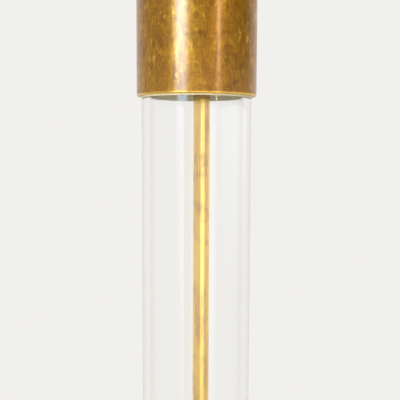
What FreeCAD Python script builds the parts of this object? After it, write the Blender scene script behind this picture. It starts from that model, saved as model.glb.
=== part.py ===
import FreeCAD, Part
import math
import os

import Sketcher
from FreeCAD import Placement, Rotation, Vector

# A floor lamp whose column is a clear glass tube between two brass cups.
# One long brass lamp pipe clamps the foot, the column and the head together.
# Millimetres, +Z up, the origin on the floor under the pipe. The cups and the
# glass stand a little to -X of the pipe, because the holes in the cups are wide.

X_AXIS, Y_AXIS, Z_AXIS = Vector(1, 0, 0), Vector(0, 1, 0), Vector(0, 0, 1)
LEFT, RIGHT = 1, -1

SIZES = (
    # Fits
    ("close_fit", 0.05),
    ("easy_fit", 0.3),
    ("pipe_clearance", 0.2),
    ("running_gap", 0.3),
    # Foot
    ("pad_thickness", 3.0),
    ("pad_inset", 9.0),
    ("cover_thickness", 1.2),
    ("cover_inset", 5.0),
    ("foot_radius", 135.0),
    ("shell_wall", 1.5),
    ("shell_lift", 1.5),
    ("shell_edge_height", 17.5),
    ("shell_edge_round", 5.0),
    ("shell_step_radius", 112.0),
    ("shell_cove", 2.0),
    ("shell_crown_rise", 9.0),
    ("shell_crown_round", 4.0),
    ("shell_top_rise", 4.0),
    ("weight_gap", 0.4),
    ("weight_chamfer", 3.5),
    ("nut_pocket_radius", 17.0),
    ("nut_pocket_depth", 15.0),
    ("channel_width", 9.0),
    ("channel_depth", 8.5),
    ("terminal_start", 25.0),
    ("terminal_width", 20.0),
    ("terminal_length", 26.0),
    ("terminal_height", 9.0),
    ("terminal_bore", 1.6),
    ("terminal_room", 1.0),
    ("terminal_spread", 3.3),
    ("terminal_screw_radius", 1.4),
    ("terminal_screw_height", 2.5),
    ("cover_screw_count", 4),
    ("cover_screw_circle", 100.0),
    ("cover_screw_radius", 2.0),
    ("cover_screw_length", 9.0),
    ("cover_screw_head", 4.0),
    ("inlet_bore", 3.25),
    ("inlet_radius", 4.2),
    ("inlet_flange_radius", 5.8),
    ("inlet_flange", 1.6),
    ("inlet_length", 8.0),
    # Plinth under the lower cup
    ("plinth_radius", 48.0),
    ("plinth_band", 5.0),
    ("plinth_band_round", 2.0),
    ("plinth_waist_radius", 40.0),
    ("plinth_cove", 5.0),
    ("plinth_bead", 2.5),
    ("plinth_bead_radius", 43.0),
    ("plinth_height", 20.0),
    ("plinth_wall", 3.0),
    ("plinth_hollow", 12.0),
    # Column
    ("glass_radius", 32.5),
    ("glass_wall", 5.0),
    ("glass_length", 1076.0),
    ("glass_edge", 0.6),
    ("column_offset", 3.0),
    ("cup_radius", 35.5),
    ("cup_bore", 33.1),
    ("cup_plate", 3.0),
    ("cup_height", 88.0),
    ("cup_edge_round", 2.0),
    ("cup_lip_round", 0.5),
    ("cup_hole", 9.0),
    ("gasket_thickness", 2.0),
    ("gasket_lap", 4.0),
    ("sleeve_length", 30.0),
    ("sleeve_reach", 1.0),
    ("pipe_radius", 5.0),
    ("pipe_bore", 3.75),
    ("pipe_end", 11.0),
    ("wire_radius", 1.0),
    ("wire_spread", 1.5),
    ("wire_bend", 4.5),
    # Nuts and washers on the pipe
    ("nut_flats", 16.0),
    ("nut_height", 6.0),
    ("base_washer_radius", 15.0),
    ("cup_washer_radius", 15.5),
    ("washer_thickness", 2.0),
    # Neck and stem above the upper cup
    ("neck_foot_radius", 24.0),
    ("neck_foot_height", 3.0),
    ("neck_foot_round", 0.8),
    ("neck_waist_radius", 12.5),
    ("neck_cove", 10.0),
    ("neck_top_radius", 13.5),
    ("neck_bead", 1.75),
    ("neck_height", 20.0),
    ("neck_nut_room", 9.6),
    ("stem_radius", 8.0),
    ("stem_length", 98.0),
    ("ring_radius", 12.0),
    ("ring_height", 6.0),
    ("ring_bead", 2.0),
    # Harp and its saddle
    ("saddle_thickness", 1.5),
    ("saddle_width", 11.0),
    ("saddle_arm_height", 13.0),
    ("saddle_bend", 3.0),
    ("harp_leg_spread", 26.0),
    ("harp_pin_radius", 2.4),
    ("harp_pin_height", 10.0),
    ("harp_collar", 3.0),
    ("harp_wire_radius", 2.0),
    ("harp_straight", 28.0),
    ("harp_flare_radius", 60.0),
    ("harp_flare_angle", 24.0),
    ("harp_side_radius", 180.0),
    ("harp_side_angle", 24.0),
    ("harp_shoulder_radius", 26.0),
    ("ferrule_radius", 4.2),
    ("ferrule_bore", 2.7),
    ("ferrule_height", 12.5),
    ("stud_base_radius", 7.5),
    ("stud_base_height", 5.0),
    ("stud_radius", 3.1),
    ("stud_length", 14.0),
    # Lamp socket
    ("socket_cap_hub", 8.0),
    ("socket_cap_hub_height", 8.0),
    ("socket_cap_radius", 17.4),
    ("socket_cap_height", 21.0),
    ("socket_cap_wall", 0.8),
    ("socket_set_screw", 1.5),
    ("shell_radius", 16.4),
    ("shell_gauge", 0.6),
    ("shell_start", 16.5),
    ("shell_height", 50.0),
    ("shell_mouth", 15.6),
    ("liner_thickness", 0.5),
    ("core_start", 23.0),
    ("core_height", 20.0),
    ("core_flat", 11.5),
    ("core_screw_radius", 2.8),
    ("core_screw_height", 2.2),
    ("thread_pitch", 3.6),
    ("thread_curve", 1.2),
    ("screw_shell_turns", 5),
    ("screw_shell_radius", 14.1),
    ("screw_shell_gauge", 0.4),
    ("contact_radius", 4.0),
    ("contact_height", 1.2),
    # Switch
    ("switch_height", 30.0),
    ("switch_shaft_radius", 2.0),
    ("switch_hole", 2.9),
    ("switch_shaft_start", 3.0),
    ("switch_shaft_end", 24.0),
    ("knob_radius", 6.5),
    ("knob_length", 13.0),
    ("knob_round", 1.2),
    ("knob_reach", 19.0),
    ("knob_flutes", 12),
    ("knob_flute_radius", 1.0),
    # Light bulb
    ("bulb_cap_radius", 12.6),
    ("bulb_cap_gauge", 0.4),
    ("bulb_turns", 4),
    ("bulb_skirt", 5.0),
    ("bulb_tip_radius", 4.2),
    ("bulb_tip_height", 1.2),
    ("bulb_insulator_height", 4.5),
    ("bulb_neck_radius", 13.3),
    ("bulb_neck_height", 6.0),
    ("bulb_neck_curve", 40.0),
    ("bulb_globe_radius", 30.0),
    ("bulb_glass", 0.8),
    ("bulb_core_radius", 5.0),
    ("bulb_core_height", 42.0),
    # Shade
    ("shade_bottom_radius", 215.0),
    ("shade_top_radius", 190.0),
    ("shade_height", 270.0),
    ("linen_thickness", 0.7),
    ("backing_thickness", 0.5),
    ("ring_wire_radius", 1.6),
    ("ring_inset", 3.0),
    ("spider_arms", 3),
    ("spider_rise", 12.7),
    ("spider_hub_radius", 11.0),
    ("spider_hub_thickness", 1.8),
    ("spider_hub_hole", 3.35),
    ("trim_width", 12.0),
    ("trim_thickness", 0.6),
    # Washer and finial over the shade
    ("shade_washer_radius", 7.5),
    ("shade_washer_thickness", 2.0),
    ("finial_foot_radius", 8.0),
    ("finial_foot_height", 3.0),
    ("finial_neck_radius", 4.6),
    ("finial_neck_height", 2.4),
    ("finial_ball_radius", 9.5),
    ("finial_cap_height", 1.0),
    ("finial_hole", 3.25),
    ("finial_hole_depth", 13.0),
)


class Size:
    """A number together with the sheet expression that gives it."""

    def __init__(self, value, text):
        self.value = value
        self.text = text

    def combined(self, sign, other, value):
        return Size(value, "(%s %s %s)" % (self.text, sign, as_size(other).text))

    def __add__(self, other):
        return self.combined("+", other, self.value + as_size(other).value)

    def __sub__(self, other):
        return self.combined("-", other, self.value - as_size(other).value)

    def __mul__(self, other):
        return self.combined("*", other, self.value * as_size(other).value)

    def __truediv__(self, other):
        return self.combined("/", other, self.value / as_size(other).value)

    def __rsub__(self, other):
        return as_size(other) - self

    def __neg__(self):
        return as_size(0) - self


def as_size(number):
    """The number as a Size, with its own digits as the expression."""
    if isinstance(number, Size):
        return number
    return Size(float(number), "(%r)" % float(number))


def root(size):
    return Size(math.sqrt(size.value), "sqrt(%s)" % size.text)


def sine(angle):
    return Size(math.sin(math.radians(angle.value)), "sin(%s)" % angle.text)


def cosine(angle):
    return Size(math.cos(math.radians(angle.value)), "cos(%s)" % angle.text)


class Sizes:
    """The sheet's cells by name, as s.foot_radius."""

    def __init__(self, sheet, rows):
        for line, (name, value) in enumerate(rows, 1):
            sheet.set("A%d" % line, name)
            sheet.set("B%d" % line, repr(value))
            sheet.setAlias("B%d" % line, name)
            setattr(self, name, Size(float(value), "%s.%s" % (sheet.Name, name)))


doc = FreeCAD.newDocument("glass_column_floor_lamp")
s = Sizes(doc.addObject("Spreadsheet::Sheet", "sizes"), SIZES)
doc.recompute()

nodes = {}


def node(name, piece):
    """Name a finished sub-part: its label is the name of its file."""
    piece.Label = name
    nodes[name] = piece
    return piece


def bind(thing, prop, size):
    """Tie a property to its expression."""
    thing.setExpression(prop, as_size(size).text)


def place(piece, x=0, y=0, z=0, turn=None):
    """Set where a sub-part stands, with its place tied to the sheet."""
    piece.Placement = Placement(Vector(0, 0, 0), turn or Rotation())
    for letter, size in (("x", x), ("y", y), ("z", z)):
        bind(piece, "Placement.Base.%s" % letter, size)
    return piece


# Sketches and features

def plane(body, role):
    return next(item for item in body.Origin.OriginFeatures if item.Role == role)


def new_body(name):
    return node(name, doc.addObject("PartDesign::Body", name))


def new_sketch(body, name, role, height=None):
    """A sketch on one of the body's own origin planes, or at a height above it."""
    sketch = body.newObject("Sketcher::SketchObject", "%s_%s" % (body.Name, name))
    sketch.AttachmentSupport = [(plane(body, role), "")]
    sketch.MapMode = "FlatFace"
    if height is not None:
        bind(sketch, "AttachmentOffset.Base.z", height)
    return sketch


def hold_point(sketch, edge, end, x, y):
    """Pin one end of a sketch edge at (x, y), each tied to its expression."""
    for kind, axis, size in (("DistanceX", -2, x), ("DistanceY", -1, y)):
        size = as_size(size)
        if size.value == 0:
            sketch.addConstraint(Sketcher.Constraint("PointOnObject", edge, end, axis))
            continue
        held = Sketcher.Constraint(kind, -1, 1, edge, end, size.value)
        bind(sketch, "Constraints[%d]" % sketch.addConstraint(held), size)


def middle_of_arc(begin, end, radius, turn):
    """The middle of the short arc between two points, curving LEFT or RIGHT."""
    chord = end - begin
    half = chord.Length / 2
    rise = math.sqrt(max(radius * radius - half * half, 0))
    across = Vector(-chord.y, chord.x, 0).normalize() * turn
    centre = (begin + end) / 2 + across * rise
    return centre - across * radius


def draw_path(sketch, corners, closed):
    """Draw lines and arcs from corner to corner.

    A corner is (x, y), reached by a line, or (x, y, radius, turn), reached by an
    arc of that radius that curves LEFT or RIGHT.
    """
    spots = [Vector(as_size(c[0]).value, as_size(c[1]).value, 0) for c in corners]
    steps = list(range(1, len(corners))) + ([0] if closed else [])
    edges = []
    for step in steps:
        begin, end, corner = spots[step - 1], spots[step], corners[step]
        curve = Part.LineSegment(begin, end)
        if len(corner) == 4:
            radius = as_size(corner[2])
            curve = Part.Arc(begin, middle_of_arc(begin, end, radius.value, corner[3]), end)
        edge = sketch.addGeometry(curve)
        start = 1 if sketch.getPoint(edge, 1).distanceToPoint(begin) < 1e-6 else 2
        edges.append((edge, start))
        if len(edges) > 1:
            last, last_start = edges[-2]
            joint = Sketcher.Constraint("Coincident", last, 3 - last_start, edge, start)
            sketch.addConstraint(joint)
        hold_point(sketch, edge, start, corners[step - 1][0], corners[step - 1][1])
        if len(corner) == 4:
            held = Sketcher.Constraint("Radius", edge, radius.value)
            bind(sketch, "Constraints[%d]" % sketch.addConstraint(held), radius)
    last, last_start = edges[-1]
    if closed:
        first, first_start = edges[0]
        joint = Sketcher.Constraint("Coincident", last, 3 - last_start, first, first_start)
        sketch.addConstraint(joint)
    else:
        hold_point(sketch, last, 3 - last_start, corners[-1][0], corners[-1][1])


def draw_circle(sketch, radius, x=0, y=0):
    x, y, radius = as_size(x), as_size(y), as_size(radius)
    centre = Vector(x.value, y.value, 0)
    edge = sketch.addGeometry(Part.Circle(centre, Z_AXIS, radius.value))
    hold_point(sketch, edge, 3, x, y)
    held = Sketcher.Constraint("Radius", edge, radius.value)
    bind(sketch, "Constraints[%d]" % sketch.addConstraint(held), radius)


def draw_box(sketch, x_low, x_high, y_low, y_high):
    corners = [(x_low, y_low), (x_high, y_low), (x_high, y_high), (x_low, y_high)]
    draw_path(sketch, corners, closed=True)


def turned(name, corners):
    """A body turned about its own Z axis from a closed outline of (radius, height)."""
    body = new_body(name)
    sketch = new_sketch(body, "outline", "XZ_Plane")
    draw_path(sketch, corners, closed=True)
    spin = body.newObject("PartDesign::Revolution", name + "_turned")
    spin.Profile = sketch
    spin.ReferenceAxis = (sketch, ["V_Axis"])
    spin.Angle = 360
    body.Tip = spin
    return body


def padded(body, sketch, length, name="pad", midplane=False):
    pad = body.newObject("PartDesign::Pad", "%s_%s" % (body.Name, name))
    pad.Profile = sketch
    pad.Midplane = midplane
    bind(pad, "Length", length)
    body.Tip = pad
    return pad


def pocketed(body, sketch, length, name, reverse=False):
    """Cut a sketch out of a body, and make sure that it took something away."""
    doc.recompute()
    before = body.Shape.Volume
    cut = body.newObject("PartDesign::Pocket", "%s_%s" % (body.Name, name))
    cut.Profile = sketch
    cut.Reversed = reverse
    bind(cut, "Length", length)
    body.Tip = cut
    doc.recompute()
    if not body.Shape.Volume < before - 1e-6:
        raise RuntimeError("the %s of %s cuts nothing" % (name, body.Label))
    return cut


def patterned(body, sketch, feature, count, name):
    """Repeat a feature evenly round the body's axis."""
    ring = body.newObject("PartDesign::PolarPattern", "%s_%s" % (body.Name, name))
    ring.Originals = [feature]
    ring.Axis = (sketch, ["N_Axis"])
    ring.Angle = 360
    bind(ring, "Occurrences", count)
    body.Tip = ring
    return ring


def tube(name, outer, inner, length):
    body = new_body(name)
    sketch = new_sketch(body, "ring", "XY_Plane")
    draw_circle(sketch, outer)
    draw_circle(sketch, inner)
    padded(body, sketch, length)
    return body


def rod(name, radius, length):
    body = new_body(name)
    sketch = new_sketch(body, "disc", "XY_Plane")
    draw_circle(sketch, radius)
    padded(body, sketch, length)
    return body


def cylinder(name, radius, height, x=0, y=0, z=0, turn=None):
    """A plain cylinder, used in the booleans below."""
    piece = doc.addObject("Part::Cylinder", name)
    bind(piece, "Radius", radius)
    bind(piece, "Height", height)
    return place(piece, x, y, z, turn)


def cut_by(name, base, tool):
    piece = doc.addObject("Part::Cut", name)
    piece.Base = base
    piece.Tool = tool
    return piece


def hex_nut(name, flats, bore, height):
    block = doc.addObject("Part::Prism", name + "_block")
    block.Polygon = 6
    bind(block, "Circumradius", flats / math.sqrt(3))
    bind(block, "Height", height)
    return node(name, cut_by(name, block, cylinder(name + "_bore", bore, height)))


def grouped(name, pieces):
    """Like pieces that share one node as separate solids."""
    group = doc.addObject("Part::Compound", name)
    group.Links = pieces
    return node(name, group)


def bent_wire(points, bend, radius):
    """A round wire along straight runs joined by tangent arcs."""
    edges, here = [], points[0]
    for before, corner, after in zip(points, points[1:], points[2:]):
        towards, away = (corner - before).normalize(), (after - corner).normalize()
        turn = towards.getAngle(away)
        reach = bend * math.tan(turn / 2)
        start, end = corner - towards * reach, corner + away * reach
        inward = (away - towards).normalize()
        centre = corner + inward * (bend / math.cos(turn / 2))
        edges.append(Part.makeLine(here, start))
        edges.append(Part.Arc(start, centre - inward * bend, end).toShape())
        here = end
    edges.append(Part.makeLine(here, points[-1]))
    path = Part.Wire(edges)
    heading = (points[1] - points[0]).normalize()
    profile = Part.Wire([Part.Edge(Part.Circle(points[0], heading, radius))])
    return path.makePipeShell([profile], True, True)


# Heights of the stack, from the floor up

cover_base = s.pad_thickness
weight_base = cover_base + s.cover_thickness
shell_edge_ceiling = s.shell_lift + s.shell_edge_height - s.shell_wall
shell_crown = s.shell_edge_height + s.shell_crown_rise
shell_top = shell_crown + s.shell_top_rise
boss_top = s.shell_lift + shell_top - s.shell_wall
plinth_base = s.shell_lift + shell_top
lower_cup_base = plinth_base + s.plinth_height
glass_base = lower_cup_base + s.cup_plate + s.gasket_thickness
glass_top = glass_base + s.glass_length
upper_cup_top = glass_top + s.gasket_thickness + s.cup_plate
neck_top = upper_cup_top + s.neck_height
ring_base = neck_top + s.stem_length
saddle_base = ring_base + s.ring_height
saddle_top = saddle_base + s.saddle_thickness
pipe_top = saddle_top + s.socket_cap_hub_height
column_x = -s.column_offset
pipe_hole = s.pipe_radius + s.pipe_clearance


# Foot

foot_pad = rod("foot_pad", s.foot_radius - s.pad_inset, s.pad_thickness)
place(foot_pad)

# The steel cover closes the underside of the weight, and the pad is glued to it.
cover = rod("base_cover", s.foot_radius - s.cover_inset, s.cover_thickness)
screw_hole = new_sketch(cover, "screw_hole", "XY_Plane")
draw_circle(screw_hole, s.cover_screw_head + s.close_fit, x=s.cover_screw_circle)
hole = pocketed(cover, screw_hole, s.cover_thickness, "hole", reverse=True)
patterned(cover, screw_hole, hole, s.cover_screw_count, "holes")
place(cover, z=cover_base)

# The cast weight has a step under each step of the shell, and a boss that carries it.
rim_radius = s.foot_radius - s.shell_wall - s.weight_gap
rim_height = shell_edge_ceiling - s.weight_gap - weight_base
crown_radius = s.shell_step_radius - s.shell_wall - s.weight_gap
crown_height = s.shell_lift + shell_crown - s.shell_wall - s.weight_gap - weight_base
boss_radius = s.plinth_radius - s.shell_wall
boss_height = boss_top - weight_base
weight = turned("base_weight", [
    (s.nut_pocket_radius, 0),
    (rim_radius, 0),
    (rim_radius, rim_height - s.weight_chamfer),
    (rim_radius - s.weight_chamfer, rim_height),
    (crown_radius, rim_height),
    (crown_radius, crown_height - s.weight_chamfer),
    (crown_radius - s.weight_chamfer, crown_height),
    (boss_radius, crown_height),
    (boss_radius, boss_height),
    (pipe_hole, boss_height),
    (pipe_hole, s.nut_pocket_depth),
    (s.nut_pocket_radius, s.nut_pocket_depth),
])
channel = new_sketch(weight, "channel", "XY_Plane")
draw_box(channel, -s.channel_width / 2, s.channel_width / 2, 0, s.foot_radius)
pocketed(weight, channel, s.channel_depth, "wire_channel", reverse=True)
room = new_sketch(weight, "terminal_room", "XY_Plane")
room_side = s.terminal_width / 2 + s.terminal_room
draw_box(room, -room_side, room_side, s.terminal_start - s.terminal_room,
         s.terminal_start + s.terminal_length + s.terminal_room)
pocketed(weight, room, s.terminal_height + s.terminal_screw_height, "terminal_room", reverse=True)
screw_pilot = new_sketch(weight, "screw_pilot", "XY_Plane")
draw_circle(screw_pilot, s.cover_screw_radius + s.close_fit, x=s.cover_screw_circle)
pilot = pocketed(weight, screw_pilot, s.cover_screw_length, "pilot", reverse=True)
patterned(weight, screw_pilot, pilot, s.cover_screw_count, "pilots")
place(weight, z=weight_base)

# Countersunk screws lie flush in the cover.
cover_screws = []
for number in range(round(s.cover_screw_count.value)):
    angle = as_size(number * 360) / s.cover_screw_count
    x, y = s.cover_screw_circle * cosine(angle), s.cover_screw_circle * sine(angle)
    head = doc.addObject("Part::Cone", "cover_screw_head")
    bind(head, "Radius1", s.cover_screw_head)
    bind(head, "Radius2", s.cover_screw_radius)
    bind(head, "Height", s.cover_thickness)
    place(head, x, y, cover_base)
    shank_length = s.cover_screw_length - s.running_gap
    shank = cylinder("cover_screw_shank", s.cover_screw_radius, shank_length, x, y, weight_base)
    screw = doc.addObject("Part::Fuse", "cover_screw")
    screw.Base = head
    screw.Tool = shank
    cover_screws.append(screw)
grouped("cover_screws", cover_screws)

# The spun brass shell: an upright edge, a step with a cove, and a low crown.
edge, crown, wall = s.shell_edge_height, shell_crown, s.shell_wall
edge_round, cove, crown_round = s.shell_edge_round, s.shell_cove, s.shell_crown_round
step = s.shell_step_radius
shell = turned("base_shell", [
    (s.foot_radius, 0),
    (s.foot_radius, edge - edge_round),
    (s.foot_radius - edge_round, edge, edge_round, LEFT),
    (step + cove, edge),
    (step, edge + cove, cove, RIGHT),
    (step, crown - crown_round),
    (step - crown_round, crown, crown_round, LEFT),
    (s.plinth_radius, shell_top),
    (pipe_hole, shell_top),
    (pipe_hole, shell_top - wall),
    (s.plinth_radius, shell_top - wall),
    (step - crown_round, crown - wall),
    (step - wall, crown - crown_round, crown_round - wall, RIGHT),
    (step - wall, edge + cove),
    (step + cove, edge - wall, cove + wall, LEFT),
    (s.foot_radius - edge_round, edge - wall),
    (s.foot_radius - wall, edge - edge_round, edge_round - wall, RIGHT),
    (s.foot_radius - wall, 0),
])
inlet_height = weight_base + s.channel_depth / 2
inlet_hole = new_sketch(shell, "inlet_hole", "XZ_Plane")
draw_circle(inlet_hole, s.inlet_radius + s.close_fit, y=inlet_height - s.shell_lift)
pocketed(shell, inlet_hole, s.foot_radius + s.inlet_length, "inlet")
place(shell, z=s.shell_lift)

# The bush lines the cord's way in, at the back of the foot.
inlet = turned("cord_inlet_bush", [
    (s.inlet_bore, 0),
    (s.inlet_radius, 0),
    (s.inlet_radius, s.inlet_length),
    (s.inlet_flange_radius, s.inlet_length),
    (s.inlet_flange_radius, s.inlet_length + s.inlet_flange / 2),
    (s.inlet_flange_radius - s.inlet_flange / 2, s.inlet_length + s.inlet_flange,
     s.inlet_flange / 2, LEFT),
    (s.inlet_bore, s.inlet_length + s.inlet_flange),
])
place(inlet, y=s.foot_radius - s.inlet_length, z=inlet_height, turn=Rotation(X_AXIS, -90))

# The wires from the inlet meet those of the lamp at a terminal block.
terminals = new_body("terminal_block")
block = new_sketch(terminals, "block", "XY_Plane")
draw_box(block, -s.terminal_width / 2, s.terminal_width / 2, 0, s.terminal_length)
padded(terminals, block, s.terminal_height)
bores = new_sketch(terminals, "bores", "XZ_Plane")
terminal_line = s.terminal_height / 2
draw_circle(bores, s.terminal_bore, x=s.terminal_spread, y=terminal_line)
draw_circle(bores, s.terminal_bore, x=-s.terminal_spread, y=terminal_line)
pocketed(terminals, bores, s.terminal_length, "bores")
place(terminals, y=s.terminal_start, z=weight_base)

terminal_screws = []
for side in (-1, 1):
    for share in (0.25, 0.75):
        terminal_screws.append(cylinder(
            "terminal_screw", s.terminal_screw_radius, s.terminal_screw_height - s.running_gap,
            s.terminal_spread * side, s.terminal_start + s.terminal_length * share,
            weight_base + s.terminal_height))
grouped("terminal_screws", terminal_screws)

washer_base = weight_base + s.nut_pocket_depth - s.washer_thickness
place(tube("base_washer", s.base_washer_radius, pipe_hole, s.washer_thickness), z=washer_base)
place(hex_nut("base_nut", s.nut_flats, s.pipe_radius + s.close_fit, s.nut_height),
      z=washer_base - s.nut_height)


# Plinth

plinth = turned("plinth", [
    (s.plinth_radius - s.plinth_wall - s.plinth_cove, 0),
    (s.plinth_radius, 0),
    (s.plinth_radius, s.plinth_band - s.plinth_band_round),
    (s.plinth_radius - s.plinth_band_round, s.plinth_band, s.plinth_band_round, LEFT),
    (s.plinth_waist_radius + s.plinth_cove, s.plinth_band),
    (s.plinth_waist_radius, s.plinth_band + s.plinth_cove, s.plinth_cove, RIGHT),
    (s.plinth_waist_radius, s.plinth_height - s.plinth_bead * 2),
    (s.plinth_bead_radius - s.plinth_bead, s.plinth_height - s.plinth_bead * 2),
    (s.plinth_bead_radius, s.plinth_height - s.plinth_bead, s.plinth_bead, LEFT),
    (s.plinth_bead_radius - s.plinth_bead, s.plinth_height, s.plinth_bead, LEFT),
    (pipe_hole, s.plinth_height),
    (pipe_hole, s.plinth_hollow),
    (s.plinth_waist_radius - s.plinth_wall, s.plinth_hollow),
])
place(plinth, z=plinth_base)


# Column

def cup(name):
    """A deep brass cup for one end of the glass, its plate at height zero."""
    return turned(name, [
        (s.cup_hole, 0),
        (s.cup_radius - s.cup_edge_round, 0),
        (s.cup_radius, s.cup_edge_round, s.cup_edge_round, LEFT),
        (s.cup_radius, s.cup_height - s.cup_lip_round),
        (s.cup_radius - s.cup_lip_round, s.cup_height, s.cup_lip_round, LEFT),
        (s.cup_bore + s.cup_lip_round, s.cup_height),
        (s.cup_bore, s.cup_height - s.cup_lip_round, s.cup_lip_round, LEFT),
        (s.cup_bore, s.cup_plate),
        (s.cup_hole, s.cup_plate),
    ])


upside_down = Rotation(X_AXIS, 180)
place(cup("lower_cup"), x=column_x, z=lower_cup_base)
place(cup("upper_cup"), x=column_x, z=upper_cup_top, turn=upside_down)
lower_rim = lower_cup_base + s.cup_height
upper_rim = upper_cup_top - s.cup_height

gasket_outer = s.cup_bore - s.easy_fit
gasket_inner = s.glass_radius - s.glass_wall - s.gasket_lap
for name, height in (("lower_gasket", glass_base - s.gasket_thickness), ("upper_gasket", glass_top)):
    place(tube(name, gasket_outer, gasket_inner, s.gasket_thickness), x=column_x, z=height)

sleeve_outer = s.cup_bore - s.close_fit
sleeve_inner = s.glass_radius + s.close_fit
# The sleeves reach a little out of the cups' rims.
for name, height in (("lower_sleeve", lower_rim + s.sleeve_reach - s.sleeve_length),
                     ("upper_sleeve", upper_rim - s.sleeve_reach)):
    place(tube(name, sleeve_outer, sleeve_inner, s.sleeve_length), x=column_x, z=height)

# Both ends of the glass are rounded where they were cut.
glass_inside = s.glass_radius - s.glass_wall
glass = turned("glass_tube", [
    (glass_inside, s.glass_edge),
    (glass_inside + s.glass_edge, 0, s.glass_edge, LEFT),
    (s.glass_radius - s.glass_edge, 0),
    (s.glass_radius, s.glass_edge, s.glass_edge, LEFT),
    (s.glass_radius, s.glass_length - s.glass_edge),
    (s.glass_radius - s.glass_edge, s.glass_length, s.glass_edge, LEFT),
    (glass_inside + s.glass_edge, s.glass_length),
    (glass_inside, s.glass_length - s.glass_edge, s.glass_edge, LEFT),
])
place(glass, x=column_x, z=glass_base)

place(tube("lamp_pipe", s.pipe_radius, s.pipe_bore, pipe_top - s.pipe_end), z=s.pipe_end)

place(tube("cup_washer", s.cup_washer_radius, pipe_hole, s.washer_thickness), z=upper_cup_top)
place(hex_nut("column_nut", s.nut_flats, s.pipe_radius + s.close_fit, s.nut_height),
      z=upper_cup_top + s.washer_thickness)


# Neck and stem

# The neck is hollow over the washer and the nut that press the cups on the glass.
neck_ceiling = s.washer_thickness + s.nut_height + s.running_gap
neck = turned("neck_collar", [
    (s.cup_washer_radius + s.running_gap, 0),
    (s.neck_foot_radius, 0),
    (s.neck_foot_radius, s.neck_foot_height - s.neck_foot_round),
    (s.neck_foot_radius - s.neck_foot_round, s.neck_foot_height, s.neck_foot_round, LEFT),
    (s.neck_waist_radius + s.neck_cove, s.neck_foot_height),
    (s.neck_waist_radius, s.neck_foot_height + s.neck_cove, s.neck_cove, RIGHT),
    (s.neck_waist_radius, s.neck_height - s.neck_bead * 2),
    (s.neck_top_radius - s.neck_bead, s.neck_height - s.neck_bead * 2),
    (s.neck_top_radius, s.neck_height - s.neck_bead, s.neck_bead, LEFT),
    (s.neck_top_radius - s.neck_bead, s.neck_height, s.neck_bead, LEFT),
    (pipe_hole, s.neck_height),
    (pipe_hole, neck_ceiling),
    (s.neck_nut_room, neck_ceiling),
    (s.neck_nut_room, s.washer_thickness + s.running_gap),
    (s.cup_washer_radius + s.running_gap, s.washer_thickness + s.running_gap),
])
place(neck, z=upper_cup_top)
place(tube("stem_sleeve", s.stem_radius, pipe_hole, s.stem_length), z=neck_top)

ring = turned("stem_ring", [
    (pipe_hole, 0),
    (s.ring_radius - s.ring_bead, 0),
    (s.ring_radius, s.ring_bead, s.ring_bead, LEFT),
    (s.ring_radius, s.ring_height - s.ring_bead),
    (s.ring_radius - s.ring_bead, s.ring_height, s.ring_bead, LEFT),
    (pipe_hole, s.ring_height),
])
place(ring, z=ring_base)


# Harp and its saddle

# The saddle is a strip bent into a U. Each arm ends in the inner half of a round
# pin, the harp's leg has the outer half, and a ferrule slid over both locks them.
arm_outer = s.harp_leg_spread - s.close_fit
arm_inner = arm_outer - s.saddle_thickness
saddle = new_body("harp_saddle")
strip = new_sketch(saddle, "strip", "XZ_Plane")
draw_path(strip, [
    (0, 0),
    (arm_outer - s.saddle_bend, 0),
    (arm_outer, s.saddle_bend, s.saddle_bend, LEFT),
    (arm_outer, s.saddle_arm_height),
    (arm_inner, s.saddle_arm_height),
    (arm_inner, s.saddle_bend),
    (arm_outer - s.saddle_bend, s.saddle_thickness, s.saddle_bend - s.saddle_thickness, RIGHT),
    (0, s.saddle_thickness),
], closed=True)
strip_pad = padded(saddle, strip, s.saddle_width, "strip_pad", midplane=True)


def draw_half_disc(sketch, x, radius, outward):
    """Half a disc at x, on the side away from the socket or towards it."""
    side = 1 if outward else -1
    tip = x + radius * side
    if outward:
        corners = [(x, -radius), (tip, 0, radius, LEFT), (x, radius, radius, LEFT)]
    else:
        corners = [(x, radius), (tip, 0, radius, LEFT), (x, -radius, radius, LEFT)]
    draw_path(sketch, corners, closed=True)


saddle_pin = new_sketch(saddle, "pin", "XY_Plane", height=s.saddle_arm_height)
draw_half_disc(saddle_pin, arm_outer, s.harp_pin_radius, outward=False)
pin_pad = padded(saddle, saddle_pin, s.harp_pin_height, "pin_pad")
mirror = saddle.newObject("PartDesign::Mirrored", "harp_saddle_sides")
mirror.Originals = [strip_pad, pin_pad]
mirror.MirrorPlane = (plane(saddle, "YZ_Plane"), [""])
saddle.Tip = mirror
pipe_way = new_sketch(saddle, "pipe_way", "XY_Plane")
draw_circle(pipe_way, pipe_hole)
pocketed(saddle, pipe_way, s.saddle_thickness, "pipe_way", reverse=True)
place(saddle, z=saddle_base)

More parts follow.
